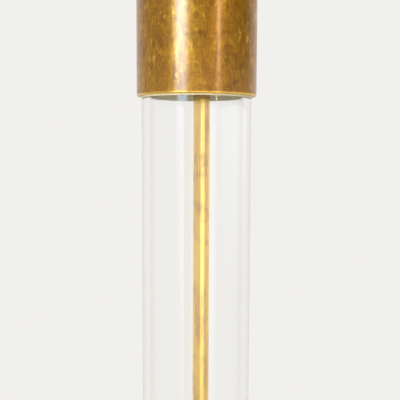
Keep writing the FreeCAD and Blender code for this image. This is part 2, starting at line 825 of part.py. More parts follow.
# The harp: straight legs, a flare, long bowed sides and a flat top.
flare, side, shoulder = s.harp_flare_radius, s.harp_side_radius, s.harp_shoulder_radius
flare_sin, flare_cos = sine(s.harp_flare_angle), cosine(s.harp_flare_angle)
side_sin, side_cos = sine(s.harp_side_angle), cosine(s.harp_side_angle)
leg_x = s.harp_leg_spread
flare_end = (leg_x + flare * (as_size(1) - flare_cos), s.harp_straight + flare * flare_sin)
side_end = (flare_end[0] + side * (side_cos - flare_cos), flare_end[1] + side * (side_sin + flare_sin))
flat_end = (side_end[0] - shoulder * side_cos, side_end[1] + shoulder * (as_size(1) - side_sin))
harp_top = flat_end[1]
leg_foot = s.running_gap
collar_base = s.harp_pin_height + s.running_gap
harp = new_body("harp")
wire_line = new_sketch(harp, "wire_line", "XZ_Plane")
draw_path(wire_line, [
    (leg_x, collar_base),
    (leg_x, s.harp_straight),
    (flare_end[0], flare_end[1], flare, RIGHT),
    (side_end[0], side_end[1], side, LEFT),
    (flat_end[0], flat_end[1], shoulder, LEFT),
    (0, harp_top),
], closed=False)
wire_end = new_sketch(harp, "wire_end", "XY_Plane", height=collar_base)
draw_circle(wire_end, s.harp_wire_radius, x=leg_x)
wire = harp.newObject("PartDesign::AdditivePipe", "harp_wire")
wire.Profile = wire_end
wire.Spine = (wire_line, [])
harp.Tip = wire
collar = new_sketch(harp, "collar", "XY_Plane", height=collar_base)
draw_circle(collar, s.harp_pin_radius, x=leg_x)
collar_pad = padded(harp, collar, s.harp_collar, "collar_pad")
leg_end = new_sketch(harp, "leg_end", "XY_Plane", height=leg_foot)
draw_half_disc(leg_end, leg_x + s.close_fit, s.harp_pin_radius, outward=True)
leg_pad = padded(harp, leg_end, collar_base - leg_foot, "leg_pad")
mirror = harp.newObject("PartDesign::Mirrored", "harp_sides")
mirror.Originals = [wire, collar_pad, leg_pad]
mirror.MirrorPlane = (plane(harp, "YZ_Plane"), [""])
harp.Tip = mirror
harp_base = saddle_base + s.saddle_arm_height
place(harp, z=harp_base)

for name, side_x in (("harp_ferrule_left", -leg_x), ("harp_ferrule_right", leg_x)):
    lip = s.ferrule_radius - s.ferrule_bore
    ferrule = turned(name, [
        (s.ferrule_bore, 0),
        (s.ferrule_radius, 0),
        (s.ferrule_radius, s.ferrule_height - lip / 2),
        (s.ferrule_radius - lip / 2, s.ferrule_height, lip / 2, LEFT),
        (s.ferrule_bore, s.ferrule_height),
    ])
    place(ferrule, x=side_x, z=harp_base + s.running_gap)

# The stud is riveted on the harp's flat top, its base grooved for the wire.
stud_wire = s.stud_base_height / 10
stud = turned("harp_stud", [
    (0, 0),
    (s.stud_base_radius, 0),
    (s.stud_base_radius, s.stud_base_height),
    (s.stud_radius, s.stud_base_height),
    (s.stud_radius, s.stud_base_height + s.stud_length),
    (0, s.stud_base_height + s.stud_length),
])
groove = new_sketch(stud, "groove", "YZ_Plane")
draw_circle(groove, s.harp_wire_radius + s.close_fit, y=stud_wire)
stud_groove = pocketed(stud, groove, s.stud_base_radius * 2, "groove")
stud_groove.Midplane = True
place(stud, z=harp_base + harp_top - stud_wire)
stud_seat = harp_base + harp_top - stud_wire + s.stud_base_height


# Lamp socket, with its switch

cap_wall, bowl = s.socket_cap_wall, s.socket_cap_radius - s.socket_cap_hub
bowl_base = s.socket_cap_hub_height - s.socket_cap_wall * 2
socket_cap = turned("socket_cap", [
    (s.pipe_radius + s.close_fit, 0),
    (s.socket_cap_hub, 0),
    (s.socket_cap_hub, bowl_base),
    (s.socket_cap_radius, bowl_base + bowl, bowl, LEFT),
    (s.socket_cap_radius, s.socket_cap_height),
    (s.socket_cap_radius - cap_wall, s.socket_cap_height),
    (s.socket_cap_radius - cap_wall, bowl_base + bowl),
    (s.socket_cap_hub, bowl_base + cap_wall, bowl - cap_wall, RIGHT),
    (s.socket_cap_hub - cap_wall, s.socket_cap_hub_height),
    (s.pipe_radius + s.close_fit, s.socket_cap_hub_height),
])
screw_way = new_sketch(socket_cap, "screw_way", "XZ_Plane")
screw_line = bowl_base / 2
draw_circle(screw_way, s.socket_set_screw + s.close_fit, y=screw_line)
pocketed(socket_cap, screw_way, s.socket_cap_hub + cap_wall, "screw_way")
place(socket_cap, z=saddle_top)
set_screw_length = s.socket_cap_hub - s.pipe_radius + s.socket_set_screw
place(rod("socket_set_screw", s.socket_set_screw, set_screw_length),
      y=s.pipe_radius + s.close_fit * 2, z=saddle_top + screw_line, turn=Rotation(X_AXIS, -90))

shell_inner = s.shell_radius - s.shell_gauge
curl = s.shell_radius - s.shell_mouth
socket_shell = turned("socket_shell", [
    (shell_inner, 0),
    (s.shell_radius, 0),
    (s.shell_radius, s.shell_height - curl),
    (s.shell_mouth, s.shell_height, curl, LEFT),
    (s.shell_mouth, s.shell_height - s.shell_gauge),
    (shell_inner, s.shell_height - s.shell_gauge),
])
place(socket_shell, z=saddle_top + s.shell_start)

liner_outer = shell_inner - s.close_fit
liner_inner = liner_outer - s.liner_thickness
liner_length = s.shell_height - s.shell_gauge - s.easy_fit * 2
liner = tube("socket_liner", liner_outer, liner_inner, liner_length)
place(liner, z=saddle_top + s.shell_start + s.easy_fit)

core_radius = liner_inner - s.close_fit
core = rod("socket_core", core_radius, s.core_height)
flats = new_sketch(core, "flats", "XY_Plane")
draw_box(flats, s.core_flat, core_radius + 1, -core_radius, core_radius)
flat_cut = pocketed(core, flats, s.core_height, "flat", reverse=True)
mirror = core.newObject("PartDesign::Mirrored", "socket_core_sides")
mirror.Originals = [flat_cut]
mirror.MirrorPlane = (plane(core, "YZ_Plane"), [""])
core.Tip = mirror
place(core, z=saddle_top + s.core_start)

# The switch shaft leaves through the front of the core, the liner and the shell.
for body, base, radius in ((core, s.core_start, s.switch_shaft_radius + s.close_fit),
                           (liner, s.shell_start + s.easy_fit, s.switch_hole),
                           (socket_shell, s.shell_start, s.switch_hole)):
    way = new_sketch(body, "switch_way", "XZ_Plane")
    draw_circle(way, radius, y=s.switch_height - base)
    pocketed(body, way, s.shell_radius + 1, "switch_way", reverse=True)

shaft_line = saddle_top + s.switch_height
forward = Rotation(X_AXIS, 90)
shaft = rod("switch_shaft", s.switch_shaft_radius, s.switch_shaft_end - s.switch_shaft_start)
place(shaft, y=-s.switch_shaft_start, z=shaft_line, turn=forward)

knob_bore = s.switch_shaft_radius + s.close_fit
knob_bore_depth = s.switch_shaft_end - s.knob_reach + s.running_gap
knob = turned("switch_knob", [
    (0, knob_bore_depth),
    (knob_bore, knob_bore_depth),
    (knob_bore, 0),
    (s.knob_radius - s.knob_round, 0),
    (s.knob_radius, s.knob_round, s.knob_round, LEFT),
    (s.knob_radius, s.knob_length - s.knob_round),
    (s.knob_radius - s.knob_round, s.knob_length, s.knob_round, LEFT),
    (0, s.knob_length),
])
flute = new_sketch(knob, "flute", "XY_Plane")
draw_circle(flute, s.knob_flute_radius, x=s.knob_radius + s.knob_flute_radius / 3)
flute_cut = pocketed(knob, flute, s.knob_length, "flute", reverse=True)
patterned(knob, flute, flute_cut, s.knob_flutes, "flutes")
place(knob, y=-s.knob_reach, z=shaft_line, turn=forward)

core_screws = []
screw_height = s.core_start + s.core_height / 2
for side_x, turn in ((s.core_flat, 90), (-s.core_flat, -90)):
    core_screws.append(cylinder(
        "core_screw", s.core_screw_radius, s.core_screw_height, side_x, 0,
        saddle_top + screw_height, Rotation(Y_AXIS, turn)))
grouped("socket_terminal_screws", core_screws)

core_top = saddle_top + s.core_start + s.core_height
contact = turned("centre_contact", [
    (0, 0),
    (s.contact_radius, 0),
    (s.contact_radius, s.contact_height / 2),
    (s.contact_radius - s.contact_height / 2, s.contact_height),
    (0, s.contact_height),
])
place(contact, z=core_top)


def rolled_thread(radius, base, turns, upward):
    """The corners of a rolled thread's wavy wall, going up or coming down."""
    corners = []
    for number in range(1, 2 * round(turns.value) + 1):
        if upward:
            height, bulge = base + s.thread_pitch * (number / 2), (LEFT, RIGHT)[1 - number % 2]
        else:
            height = base + s.thread_pitch * (round(turns.value) - number / 2)
            bulge = (LEFT, RIGHT)[1 - number % 2]
        corners.append((radius, height, s.thread_curve, bulge))
    return corners


thread_room = s.screw_shell_turns * s.thread_pitch
inner = s.screw_shell_radius - s.screw_shell_gauge
screw_shell = turned(
    "screw_shell",
    [(s.screw_shell_radius, 0)]
    + rolled_thread(s.screw_shell_radius, as_size(0), s.screw_shell_turns, True)
    + [(inner, thread_room)]
    + rolled_thread(inner, as_size(0), s.screw_shell_turns, False))
place(screw_shell, z=core_top)


# Light bulb

bulb_base = core_top + s.contact_height + s.running_gap
tip = turned("bulb_tip", [
    (0, 0),
    (s.bulb_tip_radius - s.bulb_tip_height, 0),
    (s.bulb_tip_radius, s.bulb_tip_height, s.bulb_tip_height, LEFT),
    (0, s.bulb_tip_height),
])
place(tip, z=bulb_base)
insulator = turned("bulb_insulator", [
    (0, 0),
    (s.bulb_tip_radius + 1, 0),
    (s.bulb_cap_radius - s.bulb_cap_gauge, s.bulb_insulator_height),
    (0, s.bulb_insulator_height),
])
place(insulator, z=bulb_base + s.bulb_tip_height)

skirt_base = s.bulb_turns * s.thread_pitch
skirt_top = skirt_base + s.bulb_skirt
cap_radius, gauge = s.bulb_cap_radius, s.bulb_cap_gauge
bulb_cap = turned(
    "bulb_cap",
    [(cap_radius, 0)]
    + rolled_thread(cap_radius, as_size(0), s.bulb_turns, True)
    + [(s.bulb_neck_radius, skirt_base + gauge), (s.bulb_neck_radius, skirt_top),
       (s.bulb_neck_radius - gauge, skirt_top),
       (s.bulb_neck_radius - gauge, skirt_base + gauge * 2),
       (cap_radius - gauge, skirt_base)]
    + rolled_thread(cap_radius - gauge, as_size(0), s.bulb_turns, False))
bulb_cap_base = bulb_base + s.bulb_tip_height + s.bulb_insulator_height
place(bulb_cap, z=bulb_cap_base)

# The glass: a straight neck, a curve that opens outwards, and a round globe.
globe, neck_curve = s.bulb_globe_radius, s.bulb_neck_curve
centre_gap = globe + neck_curve
curve_x = s.bulb_neck_radius + neck_curve
globe_rise = root(centre_gap * centre_gap - curve_x * curve_x)
globe_height = s.bulb_neck_height + globe_rise
glass = s.bulb_glass


def where_curves_meet(reach):
    """The point where the neck's curve runs into the globe of radius reach."""
    share = reach / centre_gap
    return curve_x * share, globe_height - globe_rise * share


outer_x, outer_z = where_curves_meet(globe)
inner_x, inner_z = where_curves_meet(globe - glass)
bulb_glass = turned("bulb_glass", [
    (s.bulb_neck_radius - glass, 0),
    (s.bulb_neck_radius, 0),
    (s.bulb_neck_radius, s.bulb_neck_height),
    (outer_x, outer_z, neck_curve, RIGHT),
    (0, globe_height + globe, globe, LEFT),
    (0, globe_height + globe - glass),
    (inner_x, inner_z, globe - glass, RIGHT),
    (s.bulb_neck_radius - glass, s.bulb_neck_height, neck_curve + glass, LEFT),
])
bulb_glass_base = bulb_cap_base + skirt_top
place(bulb_glass, z=bulb_glass_base)

core_flare = s.bulb_neck_radius - glass - s.close_fit
bulb_core = turned("bulb_light_core", [
    (0, 0),
    (core_flare, 0),
    (core_flare, s.bulb_glass),
    (s.bulb_core_radius, core_flare - s.bulb_core_radius + s.bulb_glass,
     core_flare - s.bulb_core_radius, RIGHT),
    (s.bulb_core_radius, s.bulb_core_height),
    (0, s.bulb_core_height),
])
place(bulb_core, z=bulb_glass_base)


# Wires from the terminal block up the pipe to the socket's two screws

wires = []
wire_line = (weight_base + s.terminal_height / 2).value
wire_end = (saddle_top + screw_height - s.core_screw_radius - s.running_gap).value
wire_out = (s.core_flat + s.wire_radius + s.running_gap).value
pipe_mouth = pipe_top.value
for side in (-1, 1):
    inside = side * s.wire_spread.value
    route = [
        Vector(side * s.terminal_spread.value, (s.terminal_start + s.wire_radius * 2).value, wire_line),
        Vector(inside, 0, wire_line),
        Vector(inside, 0, pipe_mouth + s.wire_bend.value),
        Vector(side * wire_out, 0, wire_end - s.wire_bend.value * 2),
        Vector(side * wire_out, 0, wire_end),
    ]
    lead = doc.addObject("Part::Feature", "supply_wire_%s" % ("left" if side < 0 else "right"))
    lead.Shape = bent_wire(route, s.wire_bend.value, s.wire_radius.value)
    lead.Placement = Placement()
    node(lead.Name, lead)


# Shade

slope = (s.shade_bottom_radius - s.shade_top_radius) / s.shade_height


def shade_radius(height):
    """The linen's outer radius at a height above the shade's lower edge."""
    return s.shade_bottom_radius - slope * height


def shade_wall(name, depth, thickness):
    """One layer of the shade's wall, its outer face at a depth under the linen's."""
    bottom, top = s.shade_bottom_radius - depth, s.shade_top_radius - depth
    return turned(name, [
        (bottom - thickness, 0),
        (bottom, 0),
        (top, s.shade_height),
        (top - thickness, s.shade_height),
    ])


hub_base = stud_seat + s.running_gap
ring_height = hub_base + s.spider_hub_thickness / 2 + s.spider_rise
shade_top = ring_height + s.ring_inset
shade_base = shade_top - s.shade_height
place(shade_wall("shade_linen", as_size(0), s.linen_thickness), z=shade_base)
backing_depth = s.linen_thickness + s.close_fit
place(shade_wall("shade_backing", backing_depth, s.backing_thickness), z=shade_base)

ring_depth = backing_depth + s.backing_thickness + s.ring_wire_radius + s.easy_fit
bottom_ring = doc.addObject("Part::Torus", "shade_bottom_ring")
bind(bottom_ring, "Radius1", shade_radius(s.ring_inset) - ring_depth)
bind(bottom_ring, "Radius2", s.ring_wire_radius)
node("shade_bottom_ring", place(bottom_ring, z=shade_base + s.ring_inset))

# The spider: a washer for the harp's stud, arms that rise from it, and the top ring.
hub_middle = s.spider_hub_thickness / 2
spider = turned("shade_spider", [
    (s.spider_hub_hole, 0),
    (s.spider_hub_radius, 0),
    (s.spider_hub_radius, s.spider_hub_thickness),
    (s.spider_hub_hole, s.spider_hub_thickness),
])
top_ring_radius = shade_radius(s.shade_height - s.ring_inset) - ring_depth
arm_start = s.spider_hub_radius - s.ring_wire_radius
arm_line = new_sketch(spider, "arm_line", "XZ_Plane")
draw_path(arm_line, [
    (arm_start, hub_middle),
    (top_ring_radius, hub_middle + s.spider_rise),
], closed=False)
arm_end = new_sketch(spider, "arm_end", "YZ_Plane", height=arm_start)
draw_circle(arm_end, s.ring_wire_radius, y=hub_middle)
arm = spider.newObject("PartDesign::AdditivePipe", "shade_spider_arm")
arm.Profile = arm_end
arm.Spine = (arm_line, [])
spider.Tip = arm
arm_round = new_sketch(spider, "arm_round", "XY_Plane")
draw_circle(arm_round, s.spider_hub_radius)
patterned(spider, arm_round, arm, s.spider_arms, "arms")
ring_section = new_sketch(spider, "ring_section", "XZ_Plane")
draw_circle(ring_section, s.ring_wire_radius, x=top_ring_radius, y=hub_middle + s.spider_rise)
top_ring = spider.newObject("PartDesign::Revolution", "shade_spider_ring")
top_ring.Profile = ring_section
top_ring.ReferenceAxis = (ring_section, ["V_Axis"])
top_ring.Angle = 360
spider.Tip = top_ring
place(spider, z=hub_base)


def shade_trim(name, edge_height, inward):
    """A bound edge: a band on the linen and a lip over the edge and the ring.

    inward is 1 at the lower edge, where the band runs up from it, and -1 at the top.
    """
    gap, thick = s.close_fit, s.trim_thickness
    edge_radius = shade_radius(edge_height)
    band_radius = shade_radius(edge_height + s.trim_width * inward)
    lip_radius = shade_radius(edge_height) - ring_depth - s.ring_wire_radius
    outside, inside = edge_height - (gap + thick) * inward, edge_height - gap * inward
    band = edge_height + s.trim_width * inward
    return turned(name, [
        (lip_radius, outside),
        (edge_radius + gap + thick, outside),
        (edge_radius + gap + thick, edge_height),
        (band_radius + gap + thick, band),
        (band_radius + gap, band),
        (edge_radius + gap, inside),
        (lip_radius, inside),
    ])


place(shade_trim("shade_bottom_trim", as_size(0), 1), z=shade_base)
place(shade_trim("shade_top_trim", s.shade_height, -1), z=shade_base)


# The washer on the spider's hub, and the finial that holds it down

washer_base = hub_base + s.spider_hub_thickness
place(turned("shade_washer", [
    (s.spider_hub_hole, 0),
    (s.shade_washer_radius, 0),
    (s.shade_washer_radius, s.shade_washer_thickness),
    (s.spider_hub_hole, s.shade_washer_thickness),
]), z=washer_base)

ball, neck_radius = s.finial_ball_radius, s.finial_neck_radius
foot_round = s.finial_foot_height / 3
ball_base = s.finial_foot_height + s.finial_neck_height
ball_centre = ball_base + root(ball * ball - neck_radius * neck_radius)
tip_radius = neck_radius / 2
tip_base = ball_centre + root(ball * ball - tip_radius * tip_radius)
finial = turned("finial", [
    (s.finial_hole, 0),
    (s.finial_foot_radius, 0),
    (s.finial_foot_radius, s.finial_foot_height - foot_round),
    (s.finial_foot_radius - foot_round, s.finial_foot_height, foot_round, LEFT),
    (neck_radius, s.finial_foot_height),
    (neck_radius, ball_base),
    (tip_radius, tip_base, ball, LEFT),
    (tip_radius, tip_base + s.finial_cap_height),
    (0, tip_base + s.finial_cap_height),
    (0, s.finial_hole_depth),
    (s.finial_hole, s.finial_hole_depth),
])
place(finial, z=washer_base + s.shade_washer_thickness + s.running_gap)


# Check every object, then write one file for each sub-part

doc.recompute()
for item in doc.Objects:
    if {"Invalid", "Error"} & set(item.State):
        raise RuntimeError("%s did not build: %s" % (item.Label, item.State))
for name, piece in nodes.items():
    shape = piece.Shape
    if shape.isNull() or not shape.isValid() or not shape.Solids:
        raise RuntimeError("%s has no sound solid" % name)

os.makedirs("parts", exist_ok=True)
for name, piece in nodes.items():
    piece.Shape.exportStep("parts/%s.step" % name)

whole = FreeCAD.BoundBox()
for piece in nodes.values():
    whole.add(piece.Shape.optimalBoundingBox(False, False))
print("%d nodes, %.1f x %.1f x %.1f mm" % (len(nodes), whole.XLength, whole.YLength, whole.ZLength))
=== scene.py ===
"""Glass column floor lamp: its finishes, cloth, glass and studio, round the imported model."""

import math

import bmesh
import bpy
from bpy.props import FloatProperty, FloatVectorProperty, PointerProperty
from mathutils import Matrix, Vector


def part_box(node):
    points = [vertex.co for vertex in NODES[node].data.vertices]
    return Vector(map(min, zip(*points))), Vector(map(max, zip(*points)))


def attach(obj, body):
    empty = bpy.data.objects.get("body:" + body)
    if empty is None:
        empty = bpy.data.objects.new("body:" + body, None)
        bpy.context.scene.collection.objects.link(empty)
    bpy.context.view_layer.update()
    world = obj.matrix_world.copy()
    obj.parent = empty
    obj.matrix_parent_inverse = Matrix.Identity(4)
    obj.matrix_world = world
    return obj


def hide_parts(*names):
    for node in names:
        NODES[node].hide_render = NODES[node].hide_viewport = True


bl_info = {
    "name": "Glass column floor lamp",
    "version": (1, 0, 0),
    "blender": (4, 5, 0),
    "location": "View3D > Sidebar > Lamp",
    "description": "Finishes, cloth, glass and studio of a floor lamp with a glass column",
    "category": "Object",
}

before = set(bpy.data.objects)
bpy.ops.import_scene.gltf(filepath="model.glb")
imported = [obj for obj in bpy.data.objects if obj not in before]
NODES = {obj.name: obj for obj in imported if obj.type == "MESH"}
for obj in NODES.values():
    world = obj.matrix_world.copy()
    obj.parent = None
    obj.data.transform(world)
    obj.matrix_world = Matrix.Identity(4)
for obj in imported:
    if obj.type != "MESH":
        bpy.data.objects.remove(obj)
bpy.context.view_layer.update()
MM = 0.001
FULL_TURN = 2 * math.pi
CLEARANCE = 0.05 * MM  # between two pieces that lie against each other
SAME_PLACE = 0.001 * MM  # points nearer than this become one

# How many faces go round
COLUMN_STEPS = 256
STRIP_STEPS = 192
PIPE_STEPS = 96
PAD_STEPS = 160
SHADE_STEPS = 288
CORNER_STEPS = 5  # straight parts of a rounded corner
CLOTH_ROWS = 24  # rows of faces up the shade


def width_of(node):
    """A CAD node's width along X, in metres."""
    low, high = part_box(node)
    return high.x - low.x


def colour(name, description, value):
    return FloatVectorProperty(
        name=name, description=description, default=value,
        size=3, min=0.0, max=1.0, subtype="COLOR",
    )


def length(name, description, value):
    return FloatProperty(
        name=name, description=description, default=value,
        min=0.00001, soft_max=0.1, unit="LENGTH", precision=5,
    )


# What a user would change

class LampSizes(bpy.types.PropertyGroup):
    """Sizes of the pieces that are made here."""

    glass_radius: length(
        "Glass radius", "Outer radius of the column's glass", width_of("glass_tube") / 2)
    glass_wall: length("Glass wall", "Thickness of the column's glass", 0.005)
    glass_rounding: length("Glass rounding", "Rounding at the glass's ends", 0.0006)
    pipe_bore: length("Pipe bore", "Inner radius of the brass tube in the glass", 0.00375)
    pipe_rounding: length("Pipe rounding", "Rounding at the brass tube's ends", 0.0003)
    strip_rounding: length("Strip rounding", "Rounding of the strips round the glass", 0.0001)
    cup_wall: length("Cup wall", "Thickness of the cups' sides", 0.0024)
    cup_plate: length("Cup plate", "Thickness of the cups' end plates", 0.003)
    cup_hole: length("Cup hole", "Radius of the hole in the cups' end plates", 0.009)
    cup_lip: length("Cup lip", "Rounding at the cups' open rims", 0.0005)
    cup_edge: length("Cup edge", "Rounding at the cups' closed ends", 0.002)
    felt_under: length("Felt lower edge", "Rounding of the felt where it stands", 0.0009)
    felt_over: length("Felt upper edge", "Rounding of the felt under the foot", 0.0007)
    felt_nibble: length("Felt nibble", "How unevenly the felt is cut", 0.00018)
    linen_thread: length("Linen thread", "Spacing of the threads in the shade's linen", 0.0011)
    linen_gauge: length("Linen thickness", "Thickness of the shade's linen", 0.0007)
    seam_width: length("Shade seam", "Width of the lapped seam at the shade's back", 0.014)
    seam_rise: length("Seam rise", "How far the lapped seam stands up", 0.0005)
    tape_width: length("Tape width", "Width of the bound edges of the shade", 0.012)
    tape_gauge: length("Tape thickness", "Thickness of the tape round the shade's edges", 0.0006)
    tape_fold: length("Tape fold", "How far the tape reaches over the shade's edge", 0.00475)
    tape_waver: length("Tape waver", "How unevenly the tape's edge runs", 0.00022)


class LampColours(bpy.types.PropertyGroup):
    """Colours of the finishes."""

    patina_dark: colour("Dark patina", "Oldest stains on the aged brass", (0.205, 0.076, 0.001))
    patina_brown: colour("Brown patina", "Clouds on the aged brass", (0.310, 0.125, 0.001))
    patina_gold: colour("Gold patina", "Most of the aged brass", (0.375, 0.160, 0.002))
    patina_orange: colour("Orange patina", "Warmer clouds on the aged brass", (0.450, 0.198, 0.004))
    patina_bright: colour("Bright brass", "Rubbed places on the aged brass", (0.90, 0.52, 0.05))
    polished: colour("Polished brass", "The tube inside the glass", (0.96, 0.57, 0.05))
    plate: colour("Plated brass", "The socket and the harp", (0.72, 0.53, 0.24))
    glass: colour("Glass", "Tint of the clear glass", (0.998, 0.998, 0.995))
    glass_edge: colour(
        "Glass edge", "Tint where the view runs along the glass's wall", (0.958, 0.942, 0.925))
    opal: colour("Opal glass", "The light bulb", (0.86, 0.85, 0.81))
    linen: colour("Linen", "The shade's cloth", (0.70, 0.63, 0.50))
    linen_shadow: colour("Linen slubs", "Darker threads of the cloth", (0.56, 0.49, 0.37))
    shade_inside: colour("Shade lining", "The styrene inside the shade", (0.82, 0.80, 0.75))
    sleeve: colour("Sleeve", "The strips between the glass and the cups", (0.99, 0.86, 0.50))
    felt: colour("Felt", "The pad under the foot", (0.012, 0.012, 0.013))


class LampStudio(bpy.types.PropertyGroup):
    """Light and background."""

    backdrop: colour("Backdrop", "Colour of the background", (0.879, 0.871, 0.850))
    fill: FloatProperty(
        name="Fill", description="Strength of the even light", default=0.72, min=0.0)
    mirrored: FloatProperty(
        name="Mirrored", description="Radiance of the two tall softboxes that the brass mirrors",
        default=19.2, min=0.0)
    daylight: colour("Daylight", "The tall softbox at the left", (0.46, 0.63, 0.92))
    low_daylight: colour("Low daylight", "The softbox under the tall one", (0.62, 0.78, 1.0))
    warm: colour("Warm strip", "The tall narrow softbox at the right", (1.0, 0.85, 0.55))
    cool: colour("Cool window", "The wide softbox at the far right", (0.92, 0.96, 1.0))


# Node trees

class Paint:
    """The node tree of a material, a lamp or the world, built step by step."""

    def __init__(self, owner):
        owner.use_nodes = True
        self.owner = owner
        self.tree = owner.node_tree
        self.tree.nodes.clear()

    @classmethod
    def on_material(cls, name):
        """A new material, whose patterns follow Object coordinates."""
        made = cls(bpy.data.materials.new("lamp_" + name))
        made.place = made.add("TexCoord").outputs["Object"]
        return made

    def add(self, kind, inputs=(), **settings):
        made = self.tree.nodes.new("ShaderNode" + kind)
        for key, value in settings.items():
            setattr(made, key, value)
        for key, value in dict(inputs).items():
            self.feed(made.inputs[key], value)
        return made

    def feed(self, socket, value):
        if isinstance(value, bpy.types.NodeSocket):
            self.tree.links.new(value, socket)
        elif socket.type == "RGBA":
            socket.default_value = (*value[:3], 1.0)
        else:
            socket.default_value = value

    def stretched(self, scale, place=None, shift=(0, 0, 0)):
        """The place, with each axis scaled and moved."""
        return self.add("Mapping", {"Vector": place or self.place, "Scale": scale,
                                    "Location": shift}).outputs[0]

    def noise(self, scale, detail=4.0, roughness=0.55, distortion=0.0, place=None):
        return self.add("TexNoise", {
            "Vector": place or self.place, "Scale": scale, "Detail": detail,
            "Roughness": roughness, "Distortion": distortion,
        }).outputs[0]

    def maths(self, operation, *values):
        return self.add("Math", dict(enumerate(values)), operation=operation).outputs[0]

    def sum_of(self, *weighted):
        """The sum of (value, weight) pairs."""
        total = 0.0
        for value, weight in weighted:
            total = self.maths("MULTIPLY_ADD", value, weight, total)
        return total

    def between(self, value, low, high, start=0.0, end=1.0):
        """A smooth step from start to end as the value goes from low to high."""
        return self.add("MapRange", {
            "Value": value, "From Min": low, "From Max": high, "To Min": start, "To Max": end,
        }, interpolation_type="SMOOTHSTEP").outputs[0]

    def band(self, value, middle, half):
        """1 where the value is at the middle, and 0 from half away."""
        away = self.maths("ABSOLUTE", self.maths("SUBTRACT", value, middle))
        return self.between(away, 0.0, half, 1.0, 0.0)

    def blend(self, share, first, second):
        return self.add("Mix", {0: share, 6: first, 7: second}, data_type="RGBA").outputs[2]

    def ramp(self, value, *stops):
        """A colour by value, from (position, colour) stops."""
        made = self.add("ValToRGB", {0: value})
        points = made.color_ramp.elements
        while len(points) < len(stops):
            points.new(0.5)
        for point, (position, tone) in zip(points, stops):
            point.position = position
            point.color = (*tone[:3], 1.0)
        return made.outputs[0]

    def bump(self, height, strength, distance):
        return self.add("Bump", {
            "Height": height, "Strength": strength, "Distance": distance,
        }).outputs[0]

    def attribute(self, name):
        return self.add("Attribute", attribute_name=name).outputs["Fac"]

    def finish(self, shader):
        self.add("OutputMaterial", {"Surface": shader.outputs[0]})
        return self.owner

    def principled(self, **inputs):
        named = {key.replace("_", " "): value for key, value in inputs.items()}
        return self.finish(self.add("BsdfPrincipled", named))


# Finishes

# Drops that dried on the upper cup: the side in degrees from the front, the height over
# the rim and the radius in millimetres, how tall it is for its width, how dark its middle
# is and how bright its ring. Below nought, the middle is a rubbed speck and there's no ring.
DROPS = (
    (-1, 41.6, 2.6, 1.1, 0.40, 0.16), (-1, 14.6, 1.7, 1.5, 0.22, 0.26),
    (6, 11.5, 4.8, 1.4, 0.06, 0.09), (27, 18.0, 1.5, 1.2, 0.10, 0.20),
    (-4, 33.0, 2.2, 1.6, 0.20, 0.08), (12, 27.0, 3.0, 1.3, 0.12, 0.06),
    (-42, 27.0, 2.0, 1.6, 0.30, 0.12), (64, 30.0, 2.4, 1.3, 0.40, 0.20),
    (100, 52.0, 2.8, 1.3, 0.5, 0.3), (150, 34.0, 3.4, 1.5, 0.4, 0.3),
    (-110, 47.0, 2.5, 1.4, 0.5, 0.3), (-160, 22.0, 3.0, 1.6, 0.3, 0.3),
    (-21, 43.0, 1.2, 1.2, -0.9, 0.0), (-30, 41.5, 1.1, 1.3, -0.8, 0.0),
    (32, 20.0, 0.8, 1.0, -0.8, 0.0), (-14, 12.0, 0.7, 2.4, -0.6, 0.0),
    (-18, 9.6, 0.8, 2.4, -0.6, 0.0), (-17, 6.0, 0.6, 2.0, -0.5, 0.0),
    (44, 46.0, 0.5, 1.0, -0.8, 0.0), (45, 41.0, 0.4, 1.0, -0.7, 0.0),
    (44, 36.0, 0.4, 1.0, -0.6, 0.0), (38, 9.0, 0.5, 1.2, -0.5, 0.0),
    (-34, 22.5, 0.9, 2.6, -0.5, 0.0), (-37, 24.5, 0.6, 2.6, -0.4, 0.0),
)
DROP_WOBBLE = 2.4 * MM  # how far the clouds push a drop's outline about
DROP_RING = 0.8 * MM  # half the width of a drop's ring


def drops_on(paint, wobble):
    """How dark and how bright the dried drops make the upper cup."""
    low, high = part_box("upper_cup")
    axis_x, radius = (low.x + high.x) / 2, (high.x - low.x) / 2
    dark, bright = 0.0, 0.0
    for side, height, size, tall, middle, ring in DROPS:
        turn = math.radians(side)
        x, y = axis_x + radius * math.sin(turn), -radius * math.cos(turn)
        z = low.z + height * MM
        flat = paint.stretched((1, 1, 1 / tall), shift=(-x, -y, -z / tall))
        away = paint.add("VectorMath", {0: flat}, operation="LENGTH").outputs["Value"]
        away = paint.maths("MULTIPLY_ADD", wobble, DROP_WOBBLE, away)
        size = size * MM + DROP_WOBBLE / 2
        if middle < 0:
            speck = paint.between(away, size * 0.6, size, -middle, 0.0)
            bright = paint.maths("MAXIMUM", bright, speck)
            continue
        outline = paint.maths("MULTIPLY", paint.band(away, size, DROP_RING), ring)
        bright = paint.maths("MAXIMUM", bright, outline)
        stain = paint.between(away, size * 0.6, size * 0.95, middle, 0.0)
        dark = paint.maths("MAXIMUM", dark, stain)
    return dark, bright


